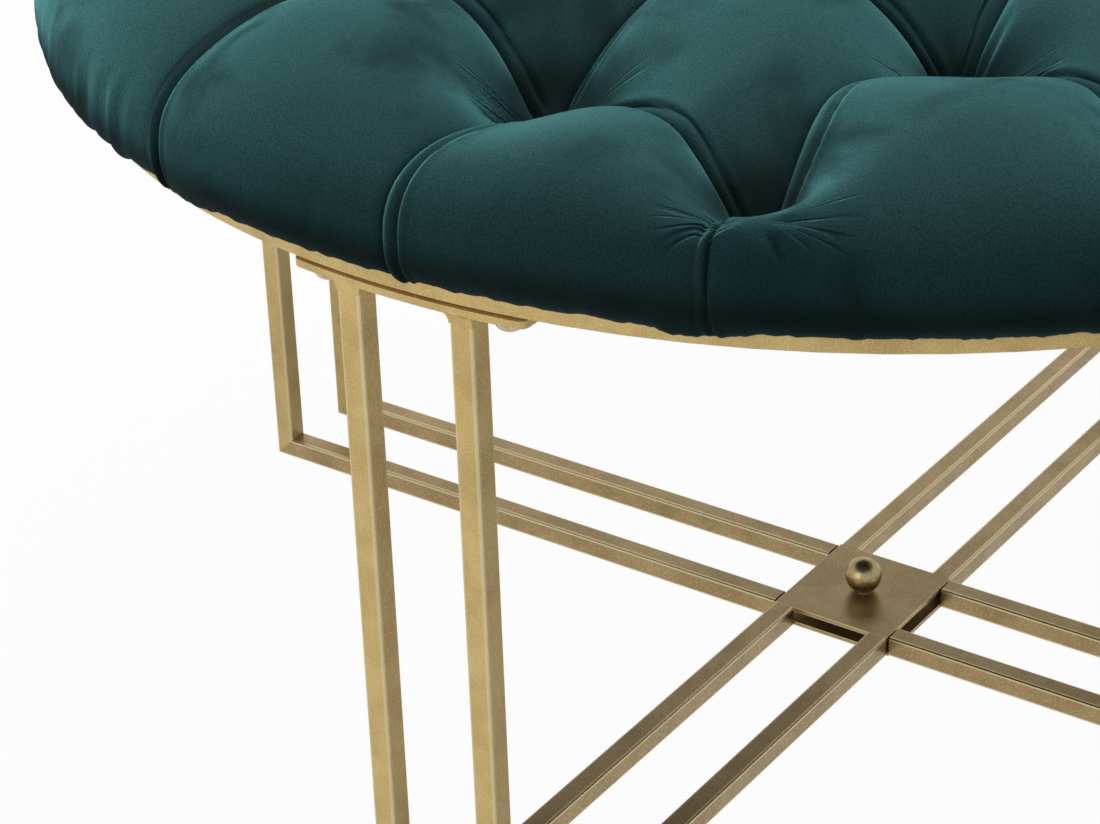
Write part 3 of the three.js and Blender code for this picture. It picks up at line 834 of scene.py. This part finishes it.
covering = dict(
    seed=7, bareBelow=1,
    tuckWidth=(3.2, 5.0), tuckHeight=2.0, tuckPower=0.7, tuckEnds=(5, 14), waver=0.12, waverLength=17,
    grooveDepth=1.9, grooveWidth=0.85, echoShare=0.4, echoGap=2.4, echoWidth=1.6,
    setTucks={
        between((-2, -2), (-1, -3)): (1, 4.2),
        between((-1, -3), (0, -2)): (-1, 8.5),
        between((-2, -2), (-3, -1)): (1, 4.6),
        between((-2, -2)): (-1, 8.0),
        between((-3, -1)): (-1, 5.0),
        between((-1, -3)): (1, 0.0),  # no roll, only a groove
    },
    bows={
        between((-2, -2), (-1, -3)): 12.5,
        between((-1, -3), (0, -2)): 16.0,
        between((0, -2), (1, -3)): 15.0,
        between((-2, -2), (-3, -1)): 4.0,
        between((-2, -2)): -9.0,
    },
    bowRange=2.5, bowReach=42.0, bowFade=8,
    bowLean={between((-2, -2), (-1, -3)): 0.66, between((0, -2), (1, -3)): 0.66},  # fullest nearer the left end
    # dents: button, place across and away from it, width and depth
    dents=(((-2, -2), -22, -20, 22, 11), ((-2, -2), -24, -62, 30, 5),
           ((0, -2), 0, -24, 24, 6), ((0, -2), 0, -62, 28, 4)),
    mouths={(-1, -3): (-3.5, -34)},  # where wrinkles start, off the button
    # wrinkles that are seen: direction in degrees, length, depth
    wrinkles={
        (-2, -2): ((188, 44, 1.3), (206, 60, 1.8), (222, 50, 1.3)),
        (-1, -3): ((161, 36, 1.2), (178, 36, 1.2), (303, 30, 2.4), (346, 28, 1.2)),
    },
    wrinkleCount=6, wrinkleLength=(26, 46), wrinkleDepth=(1.0, 1.9), wrinkleWidth=2.1, nearWidth=0.75, widening=60,
    wrinkleStart=(9, 8), mouthStart=(5, 6), mouthHeight=(26, 12), taper=0.7, bend=0.004, bendStart=12,
    ridgeShare=0.55, ridgeGap=1.7,
    # fans of fine wrinkles: direction and half width in degrees
    puckers={
        (-2, -2): ((203, 34), (345, 14)),
        (-1, -3): ((173, 26), (346, 24)),
        (0, -2): ((228, 26), (318, 20)),
    },
    puckerCount=2, puckerWidth=(16, 30), puckerEdge=10, puckerBelow=20, puckerReach=(62, 12),
    hem=((16.4, 2.8, 3.6), (52.3, 2.6, 4.0), (72.0, 9.0, 4.6), (-20.0, 7.0, 2.0), (95.0, 8.0, 3.6)),
    hemRipple=((0.35, 1.9, 0), (0.3, 4.3, 1), (0.2, 9.1, 0)), hemHeight=14, hemEdge=0.3, hemLift=0.2,
    rimFolds=46, rimFoldDepth=(0.25, 0.6), rimFoldWidth=(0.35, 0.8), rimFoldLean=0.04,
    rimFrom=(360, 40), rimBelow=(50, 28),
    looseFrom=56, looseTo=84, looseDepth=1.0, looseFolds=9, looseStep=2.4, looseWidth=0.5, looseLean=0.02,
)


def tuckHeight(across, width):
    inside = (across > 0) & (across < width)
    rolled = np.where(inside, np.sin(math.pi * share(across / width)) ** covering["tuckPower"], 0)
    groove = bell((across - width) / covering["grooveWidth"])
    echo = covering["echoShare"] * bell((across - width - covering["echoGap"]) / covering["echoWidth"])
    return rolled * covering["tuckHeight"] + covering["grooveDepth"] * (echo - groove)


def addTucks(plan, height, rng):
    for key, (start, end) in creases.items():
        side = int(rng.choice((-1, 1)))
        width = rng.uniform(*covering["tuckWidth"])
        side, width = covering["setTucks"].get(key, (side, width))
        t, across, length = measureCrease(plan, start, end)
        if end[0] < start[0]:
            across = -across
        envelope = fadeIn(t, *covering["tuckEnds"])
        if len(key) == 2:
            envelope = envelope * fadeIn(length - t, *covering["tuckEnds"])
        envelope = np.where((t > 0) & (t < length), envelope, 0)
        waver = 1 + covering["waver"] * np.sin(t / covering["waverLength"] + rng.uniform(0, 6))
        if width:
            height += envelope * tuckHeight(across * side, width * waver)
        else:
            height -= envelope * covering["grooveDepth"] * bell(across / covering["grooveWidth"])


def addWrinkles(points, height, rng):
    for key, tuft in tufts.items():
        mouth = covering["mouths"].get(key)
        offset = points[:, :2] - tuft.place - (mouth or (0, 0))
        distance = np.linalg.norm(offset, axis=1)
        angle = np.arctan2(offset[:, 1], offset[:, 0])
        if mouth:
            begun = fadeIn(distance, *covering["mouthStart"]) * fadeIn(points[:, 2], *covering["mouthHeight"])
        else:
            begun = fadeIn(distance, *covering["wrinkleStart"])
        drawn = []
        for _ in range(covering["wrinkleCount"]):
            drawn.append((rng.uniform(0, 360), rng.uniform(*covering["wrinkleLength"]),
                          rng.uniform(*covering["wrinkleDepth"])))
        for degrees, length, depth in covering["wrinkles"].get(key, drawn):
            turn = angle - math.radians(degrees)
            bent = np.sin(turn - covering["bend"] * (distance - covering["bendStart"]))
            width = covering["wrinkleWidth"] * (covering["nearWidth"] + distance / covering["widening"])
            u = distance * bent / width
            envelope = begun * fadeOut(distance, length, covering["taper"] * length) * (np.cos(turn) > 0)
            ridges = covering["ridgeShare"] * bell(np.abs(u) - covering["ridgeGap"])
            height += envelope * depth * (ridges - bell(u))


def degreesFromFront(points):
    return np.degrees(np.arctan2(points[:, 0], -points[:, 1]))


def fromMiddle(points):
    return np.hypot(points[:, 0], points[:, 1])


def addRimFolds(points, height, rng):
    front = degreesFromFront(points)
    side = fadeIn(fromMiddle(points), *covering["rimFrom"]) * fadeOut(points[:, 2], *covering["rimBelow"])
    looseness = fadeIn(-front, covering["looseFrom"], 4) * fadeOut(-front, covering["looseTo"], 8)
    for _ in range(covering["rimFolds"]):
        middle, width = rng.uniform(-180, 180), rng.uniform(*covering["rimFoldWidth"])
        lean = rng.uniform(-covering["rimFoldLean"], covering["rimFoldLean"])
        gap = (front - middle - lean * points[:, 2] + 180) % 360 - 180
        height -= side * rng.uniform(*covering["rimFoldDepth"]) * bell(gap / width)
    width = covering["looseWidth"]
    for k in range(covering["looseFolds"]):
        middle = -covering["looseFrom"] - covering["looseStep"] * k - rng.uniform(0, 1)
        gap = front - middle - covering["looseLean"] * (points[:, 2] - 20)
        ridges = 0.6 * bell((np.abs(gap) - 1) / width)
        height += side * looseness * covering["looseDepth"] * (ridges - bell(gap / width))


def hangHem(points):
    # the cover's lower edge droops over the hoop in places
    front = -degreesFromFront(points)
    drop = np.zeros(len(points))
    for middle, width, amount in covering["hem"]:
        drop = np.maximum(drop, amount * bell((front - middle) / width))
    ripple = sum(amount * np.sin(front * turns + phase) for amount, turns, phase in covering["hemRipple"])
    low = easeIn(1 - points[:, 2] / covering["hemHeight"])
    low = low * (fromMiddle(points) > cushion["footRadius"] - covering["hemEdge"])
    points[:, 2] -= low * np.maximum(drop + ripple, -covering["hemLift"])
    return points


def pressDents(points):
    points = points.copy()
    for key, across, away, width, depth in covering["dents"]:
        gap = points[:, :2] - tufts[key].place - np.array([across, away])
        pressed = points[:, 2] > covering["bareBelow"]
        points[:, 2] -= depth * bell(np.linalg.norm(gap, axis=1) / width) * pressed
    return points


def bowCreases(points, rng):
    # hand-laid folds are never quite straight: shift the cover sideways along each one
    shift = np.zeros((len(points), 2))
    inside = 1 - share(fromMiddle(points) / cushion["radius"]) ** covering["bowFade"]
    for key, (start, end) in creases.items():
        bow = covering["bows"].get(key, rng.uniform(-covering["bowRange"], covering["bowRange"]))
        t, across, length = measureCrease(points[:, :2], start, end)
        along = (end - start) / length
        far = np.array([-along[1], along[0]]) * (1 if along[0] > 0 else -1)
        part = share(t / length if along[0] > 0 else 1 - t / length) ** covering["bowLean"].get(key, 1)
        amount = bow * np.sin(math.pi * part) ** 2 * bell(across / covering["bowReach"]) * inside
        shift += amount[:, None] * far
    points[:, :2] += shift
    return points


def nearestOffset(plan):
    # offset from the nearest button's mouth, which button, distance to it
    gaps = np.array([np.linalg.norm(plan - well.place, axis=1) for well in tufts.values()])
    index = gaps.argmin(axis=0)
    mouths = np.array([well.place + covering["mouths"].get(key, (0, 0)) for key, well in tufts.items()])
    return plan - mouths[index], index, gaps.min(axis=0)


def puckerWindows(offset, index, rng):
    # which way from each button the fine wrinkles run
    windows = np.zeros(len(offset))
    degrees = np.degrees(np.arctan2(offset[:, 1], offset[:, 0]))
    for number, key in enumerate(tufts):
        drawn = [(rng.uniform(0, 360), rng.uniform(*covering["puckerWidth"])) for _ in range(covering["puckerCount"])]
        here = index == number
        for middle, width in covering["puckers"].get(key, drawn):
            gap = (degrees[here] - middle + 180) % 360 - 180
            windows[here] = np.maximum(windows[here], fadeOut(np.abs(gap), width, covering["puckerEdge"]))
    return windows


def hollowAt(points, cell=4.0, reach=17.0, edge=440.0, kernelCells=9):
    # how far each place lies under the mean height round it, in millimetres
    size = int(2 * edge / cell) + 2
    spot = (points[:, :2] + edge) / cell
    upper = points[:, 2] > covering["bareBelow"]
    index = spot[upper].astype(int)
    total, count = np.zeros((size, size)), np.zeros((size, size))
    np.add.at(total, (index[:, 0], index[:, 1]), points[upper, 2])
    np.add.at(count, (index[:, 0], index[:, 1]), 1)
    kernel = bell(np.arange(-kernelCells, kernelCells + 1) * cell / reach)

    def blur(field):
        for axis in (0, 1):
            field = np.apply_along_axis(lambda line: np.convolve(line, kernel, "same"), axis, field)
        return field

    around = blur(total / np.maximum(count, 1)) / np.maximum(blur((count > 0).astype(float)), 1e-6)
    spot = spot - 0.5
    low = np.clip(spot.astype(int), 0, size - 2)
    part = spot - low
    mean = sum(around[low[:, 0] + i, low[:, 1] + j] * np.abs(1 - i - part[:, 0]) * np.abs(1 - j - part[:, 1])
               for i in (0, 1) for j in (0, 1))
    return mean - points[:, 2]


# painted shade on the pile: in folds, at the wells, in grooves and wrinkles, in hollows
shading = dict(
    deepest=0.9, foldWidth=2.6, pleatNarrower=1.6, wellStart=8, wellWidth=13, grooveDepth=1.9,
    wrinkle=0.8, wrinkleFrom=(0.9, 2), footFade=(4, 20), hollow=(3, 19), wellReach=(46, 24), wellBelow=(52, 18),
)


def keepShades(shell, points, height, creased, offset, gap, windows):
    plan = points[:, :2]
    crease = np.minimum(fromCreases(plan, folds.values()),
                        shading["pleatNarrower"] * fromCreases(plan, pleats.values()))
    atWell = np.maximum(nearestWell(plan) - shading["wellStart"], 0) / shading["wellWidth"]
    dark = np.maximum(bell(crease / shading["foldWidth"]), bell(atWell))
    dark = shading["deepest"] * np.maximum(dark, easeIn(-creased / shading["grooveDepth"]))
    dark = np.maximum(dark, shading["wrinkle"] * fadeIn(creased - height, *shading["wrinkleFrom"]))
    # painted shade inside each well, down towards its button
    inWell = fadeOut(gap, *shading["wellReach"]) * fadeOut(points[:, 2], *shading["wellBelow"])
    hollow = np.maximum(fadeIn(hollowAt(points), *shading["hollow"]), shading["deepest"] * inWell)
    for name, values in (("foldShade", dark * fadeIn(points[:, 2], *shading["footFade"])), ("hollow", hollow)):
        kept = shell.data.attributes.new(name, "FLOAT", "POINT")
        kept.data.foreach_set("value", values.astype(np.float32))
    fromButton = shell.data.attributes.new("fromButton", "FLOAT_VECTOR", "POINT")
    fromButton.data.foreach_set("vector", np.column_stack([offset, windows]).astype(np.float32).ravel())


def finishCover(shell):
    points = toTuft(readVertices(shell, "co"))
    normals = readVertices(shell, "normal")
    rng = np.random.default_rng(covering["seed"])
    height = np.zeros(len(points))
    addTucks(points[:, :2], height, rng)
    creased = height.copy()
    addWrinkles(points, height, rng)
    addRimFolds(points, height, rng)
    offset, index, gap = nearestOffset(points[:, :2])
    windows = puckerWindows(offset, index, rng) * (points[:, 2] > covering["puckerBelow"])
    windows = windows * fadeOut(gap, *covering["puckerReach"])
    keepShades(shell, points, height, creased, offset, gap, windows)
    height *= points[:, 2] > covering["bareBelow"]
    hung = toRow(bowCreases(hangHem(pressDents(points)), rng)) + normals * (height * mm)[:, None]
    writePoints(shell, hung)


patches = buildPatches()
patches = stuffPatches(patches)
shell = joinPatches("seatCushion", patches)
subdivide(shell)
closeUnderside(shell)
finishCover(shell)
print("stage: cushion shell", len(shell.data.vertices), "points")
dress(shell, velvet, "velvet", "seat_cushion")


# Tuft buttons, one at the bottom of each well

tuftButton = dict(radius=11.0, height=5.0, lift=1.0, segments=24, rings=12)


def makeSpotTree(name):
    # one shape, sized and set at each point, as a plain mesh with its material
    tree = bpy.data.node_groups.new(name, "GeometryNodeTree")
    for socketName, kind in (("Geometry", "Geometry"), ("Shape", "Object"), ("Radius", "Float"),
                             ("Height", "Float"), ("Cover", "Material")):
        tree.interface.new_socket(socketName, in_out="INPUT", socket_type="NodeSocket" + kind)
    tree.interface.new_socket("Geometry", in_out="OUTPUT", socket_type="NodeSocketGeometry")
    given, made = tree.nodes.new("NodeGroupInput").outputs, tree.nodes.new("NodeGroupOutput")
    shape = addNode(tree, "GeometryNodeObjectInfo", {"Object": given["Shape"]}).outputs["Geometry"]
    size = addNode(tree, "ShaderNodeCombineXYZ", {"X": given["Radius"], "Y": given["Radius"], "Z": given["Height"]})
    spots = addNode(tree, "GeometryNodeInstanceOnPoints",
                    {"Points": given["Geometry"], "Instance": shape, "Scale": size.outputs["Vector"]})
    real = addNode(tree, "GeometryNodeRealizeInstances", {"Geometry": spots.outputs["Instances"]})
    cover = addNode(tree, "GeometryNodeSetMaterial",
                    {"Geometry": real.outputs["Geometry"], "Material": given["Cover"]})
    feedAll(tree, made, {"Geometry": cover.outputs["Geometry"]})
    return tree


def setAtSpots(name, spots, profile, steps, material, radius, height):
    shape = lathe(name + "Shape", profile, steps)
    cleanMesh(shape)
    placed = meshObject(name, spots, [])
    maker = placed.modifiers.new("maker", "NODES")
    maker.node_group = makeSpotTree(name)
    values = dict(Shape=shape, Radius=radius, Height=height, Cover=material)
    for item in maker.node_group.interface.items_tree:
        if item.in_out == "INPUT" and item.name in values:
            maker[item.identifier] = values[item.name]
    applyModifiers(placed)
    bpy.data.objects.remove(shape)
    smoothByAngle(placed, 50)
    return placed


def buildButtons():
    spots = []
    for tuft in tufts.values():
        bottom = crownAt(np.linalg.norm(tuft.place)) - cushion["wellDepth"]
        spots.append((*tuft.place, bottom + tuftButton["lift"]))
    turns = [math.pi * k / tuftButton["rings"] for k in range(1, tuftButton["rings"])]
    dome = [(0, -1), *((math.sin(turn), -math.cos(turn)) for turn in turns), (0, 1)]
    return setAtSpots("tuftButtons", toRow(np.array(spots)), dome, tuftButton["segments"], velvet,
                      tuftButton["radius"] * mm, tuftButton["height"] * mm)


dress(buildButtons(), velvet, "velvet", *[name for name in nodes if name.startswith("tuft_button")])
print("stage: tuft buttons", len(tufts))


# Hoop: a rolled flat bar, its corners eased

hoop = dict(outer=400.0, inner=397.0, corner=0.8, cornerSteps=4, steps=288)


def nodeBox(name):
    corners = np.array([nodes[name].matrix_world @ Vector(c) for c in nodes[name].bound_box]) / mm
    return corners.min(axis=0), corners.max(axis=0)


def easedRing(name, bottom, top, outer, inner, corner, cornerSteps, steps):
    profile = []
    for cx, cz, start in ((outer - corner, bottom + corner, -90), (outer - corner, top - corner, 0),
                          (inner + corner, top - corner, 90), (inner + corner, bottom + corner, 180)):
        for k in range(cornerSteps + 1):
            turn = math.radians(start + 90 * k / cornerSteps)
            profile.append(((cx + corner * math.cos(turn)) * mm, (cz + corner * math.sin(turn)) * mm))
    ring = lathe(name, profile + profile[:1], steps)
    cleanMesh(ring)
    smoothByAngle(ring, 40)
    return ring


low, high = nodeBox("seat_band")
dress(easedRing("seatHoop", float(low[2]), float(high[2]), **hoop), goldPaint, "gold_paint", "seat_band")


# Ball screw: a turned ball on a short neck

ballScrew = dict(
    ball=10.1, neck=4.2, neckHeight=0.69, shank=4.0, tip=1.0, chamfer=0.6, deck=12.0, steps=72, rings=32,
)


def buildBallScrew(screw):
    seat = math.asin(screw["neck"] / screw["ball"])
    centre = screw["deck"] + screw["neckHeight"] + screw["ball"] * math.cos(seat)
    profile = [(0, screw["tip"]), (screw["shank"] - screw["chamfer"], screw["tip"]),
               (screw["shank"], screw["tip"] + screw["chamfer"]), (screw["shank"], screw["deck"]),
               (screw["neck"], screw["deck"]), (screw["neck"], screw["deck"] + screw["neckHeight"])]
    for k in range(1, screw["rings"]):
        turn = seat + (math.pi - seat) * k / screw["rings"]
        profile.append((screw["ball"] * math.sin(turn), centre - screw["ball"] * math.cos(turn)))
    profile.append((0, centre + screw["ball"]))
    solid = lathe("ballScrew", [(r * mm, z * mm) for r, z in profile], screw["steps"])
    cleanMesh(solid)
    smoothByAngle(solid, 35)
    return solid


dress(buildBallScrew(ballScrew), antiqueBrass, "antique_brass", "ball_screw")
print("stage: hoop and ball screw")


# Round-headed bolts under the leg plates. The socket and shank are in shares of the head's
# radius, the socket's depth and brim in shares of its height.

legBolt = dict(
    radius=6.4, height=6.4, rim=2.4, shank=0.46, socket=0.36, socketDepth=0.45, brim=0.97, brimWidth=1.12,
    deck=363.6, tip=11.0, steps=40, domeSteps=9,
)
boltNames = [f"{leg}_bolt_{bolt}" for leg in legNames for bolt in (1, 2)]


def buildBolts():
    # from the socket round the head to the shank's tip
    rim, tip = legBolt["rim"] / legBolt["height"], legBolt["tip"] / legBolt["height"]
    floor = legBolt["socketDepth"] - 1
    profile = [(0, floor), (legBolt["socket"], floor), (legBolt["socket"], -legBolt["brim"])]
    firstTurn = math.asin(legBolt["socket"] * legBolt["brimWidth"])
    for k in range(legBolt["domeSteps"] + 1):
        turn = firstTurn + (math.pi / 2 - firstTurn) * k / legBolt["domeSteps"]
        profile.append((math.sin(turn), -rim - (1 - rim) * math.cos(turn)))
    profile += [(1, 0), (legBolt["shank"], 0), (legBolt["shank"], tip), (0, tip)]
    spots = []
    for name in boltNames:
        low, high = nodeBox(name)
        spots.append(((low[0] + high[0]) / 2 * mm, (low[1] + high[1]) / 2 * mm, legBolt["deck"] * mm))
    return setAtSpots("legBolts", spots, profile, legBolt["steps"], boltSteel,
                      legBolt["radius"] * mm, legBolt["height"] * mm)


dress(buildBolts(), boltSteel, "bolt_steel", *boltNames)
print("stage: bolts")


# Ground welds: each post flares into its leg plate, widest on the side towards its twin

weld = dict(depth=8.0, between=7.0, outside=1.8, front=6.0, skin=0.06, steps=9, frameReach=380)


def flaredCollar(centre, half, top, outward, along):
    rings = []
    for k in range(weld["steps"] + 1):
        turn = math.radians(90 * k / weld["steps"])
        flare, drop = 1 - math.sin(turn), weld["depth"] * (1 - math.cos(turn))
        face = half + weld["skin"]
        near, far = face + weld["between"] * flare, -face - weld["outside"] * flare
        front = face + weld["front"] * flare
        rings.append([centre + along * side + outward * reach + Vector((0, 0, top - drop))
                      for side, reach in ((near, -face), (near, front), (far, front), (far, -face))])
    return rings


def buildWelds():
    points, faces = [], []
    for name in [f"{leg}_post_{post}" for leg in legNames for post in (1, 2)]:
        low, high = nodeBox(name)
        x, y = float(low[0] + high[0]) / 2, float(low[1] + high[1]) / 2
        half = float(min(high[0] - low[0], high[1] - low[1]) / 2)
        outward = Vector((round(x / weld["frameReach"]), round(y / weld["frameReach"]), 0))
        inward = Vector((x * abs(outward.y), y * abs(outward.x), 0)).normalized() * -1
        rings = flaredCollar(Vector((x, y, 0)), half, float(high[2]), outward, inward)
        start = len(points)
        points += [p * mm for ring in rings for p in ring]
        for k in range(len(rings) - 1):
            for i in range(4):
                j, p = (i + 1) % 4, start + 4 * k
                faces.append((p + i, p + j, p + 4 + j, p + 4 + i))
        faces += [(start, start + 3, start + 2, start + 1), tuple(range(len(points) - 4, len(points)))]
    welds = meshObject("legWelds", points, faces)
    cleanMesh(welds)
    smoothByAngle(welds, 40)
    return welds


dress(buildWelds(), goldPaint, "gold_paint")
print("stage: welds")


# Tubes and plates: the imported shapes, the plates' arrises rounded so that they catch the light, and a painted
# highlight along the arrises of the tubes and cross plates

easedEdge = dict(width=0.35, segments=2, angle=50, merge=0.01, upright=0.02, flat=0.985)
materialWords = (
    (("floor_bar", "cross_plate"), shadedGoldPaint), (("bolt", "nut"), boltSteel), (("ball_screw",), antiqueBrass),
    (("seat_board",), plywood), (("dust_cover",), dustCloth), (("cushion", "button"), velvet), (("",), goldPaint),
)


def materialOf(name):
    return next(material for words, material in materialWords if any(word in name for word in words))


def squareNormals(eased):
    # each arris face shades like the flat it leans to, and is marked for a painted highlight: its paint is mixed
    # towards the bright flake colour
    count = len(eased.data.polygons)
    facing = np.zeros(count * 3)
    eased.data.polygons.foreach_get("normal", facing)
    facing = facing.reshape(-1, 3)
    lean = np.abs(facing) + (0, 0, easedEdge["upright"])
    square = np.zeros((count, 3))
    square[np.arange(count), lean.argmax(axis=1)] = 1
    square *= np.sign(facing)
    arris = eased.data.attributes.new("arris", "FLOAT", "FACE")
    arris.data.foreach_set("value", (np.abs(facing).max(axis=1) < easedEdge["flat"]).astype(np.float32))
    loops = np.zeros(count, dtype=np.int32)
    eased.data.polygons.foreach_get("loop_total", loops)
    eased.data.shade_smooth()
    eased.data.normals_split_custom_set(np.repeat(square, loops, axis=0).tolist())


def easeNode(name):
    eased = toScene(bpy.data.objects.new(name + "_eased", nodes[name].data.copy()))
    eased.matrix_world = nodes[name].matrix_world
    cleanMesh(eased, easedEdge["merge"] * mm)
    if "plate" in name:
        rounding = eased.modifiers.new("rounding", "BEVEL")
        rounding.width = easedEdge["width"] * mm
        rounding.segments = easedEdge["segments"]
        rounding.limit_method = "ANGLE"
        rounding.angle_limit = math.radians(easedEdge["angle"])
        applyModifiers(eased)
    if "leg_plate" in name:
        smoothByAngle(eased, easedEdge["angle"])
        evened = eased.modifiers.new("evened", "WEIGHTED_NORMAL")
        evened.keep_sharp = True
        applyModifiers(eased)
    else:
        squareNormals(eased)
    dress(eased, materialOf(name), "gold_paint", name)


for name in list(nodes):
    if "floor_bar" in name or "plate" in name or "post" in name:
        easeNode(name)
print("stage: tubes and plates")

for name, obj in nodes.items():
    obj.data.materials.clear()
    obj.data.materials.append(materialOf(name))


# Stage

studio = dict(
    floorColor=(0.5, 0.5, 0.5, 1), floorGlow=0.97, floorHalf=6.0, floorDrop=0.0002, floorRoughness=0.9,
    floorSpecular=0.1, worldColor=(0.93, 0.96, 1.0, 1), worldStrength=0.2,
    lamps=(  # name, place, aim, size, power
        ("keyLight", (0.3, 0.15, 2.3), (0, 0, 0.4), 1.8, 54.0),
        ("fillLight", (-2.5, 0.4, 0.8), (0, 0, 0.2), 1.4, 15.5),
    ),
)


def seenBy(tree):
    # the plain background shows to the camera, in reflections and through glass
    path = tree.nodes.new("ShaderNodeLightPath")
    seen = mathNode(tree, "MAXIMUM", path.outputs["Is Camera Ray"], path.outputs["Is Glossy Ray"])
    return mathNode(tree, "MAXIMUM", seen, path.outputs["Is Transmission Ray"])


def pickShader(tree, factor, lit, seen, output):
    pick = addNode(tree, "ShaderNodeMixShader", {"Fac": factor, 1: lit.outputs[0], 2: seen.outputs[0]})
    feedAll(tree, tree.nodes[output], {"Surface": pick.outputs[0]})


def makeWorld():
    world = bpy.data.worlds.new("studio")
    bpy.context.scene.world = world
    world.use_nodes = True
    tree = world.node_tree
    seen = tree.nodes["Background"]
    feedAll(tree, seen, {"Color": (1, 1, 1, 1), "Strength": 1.0})
    lit = addNode(tree, "ShaderNodeBackground", {"Color": studio["worldColor"], "Strength": studio["worldStrength"]})
    pickShader(tree, seenBy(tree), lit, seen, "World Output")


def makeFloor():
    half = studio["floorHalf"]
    floor = meshObject("floor", [(-half, -half, 0), (half, -half, 0), (half, half, 0), (-half, half, 0)],
                       [(0, 1, 2, 3)], False)
    floor.location.z = -studio["floorDrop"]
    material, tree, shader, _ = startMaterial("paleFloor")
    feedAll(tree, shader, {"Base Color": studio["floorColor"], "Roughness": studio["floorRoughness"],
                           "Specular IOR Level": studio["floorSpecular"]})
    glow = addNode(tree, "ShaderNodeEmission", {"Strength": 1.0})
    pickShader(tree, times(tree, seenBy(tree), studio["floorGlow"]), shader, glow, "Material Output")
    floor.data.materials.append(material)


def makeLamps():
    for name, place, aim, size, power in studio["lamps"]:
        data = bpy.data.lights.new(name, "AREA")
        data.size = size
        data.energy = power
        lamp = toScene(bpy.data.objects.new(name, data))
        lamp.location = place
        lamp.rotation_euler = (Vector(aim) - Vector(place)).to_track_quat("-Z", "Y").to_euler()


makeWorld()
makeFloor()
makeLamps()
bpy.context.scene.view_settings.view_transform = "Standard"
print("stage: studio")
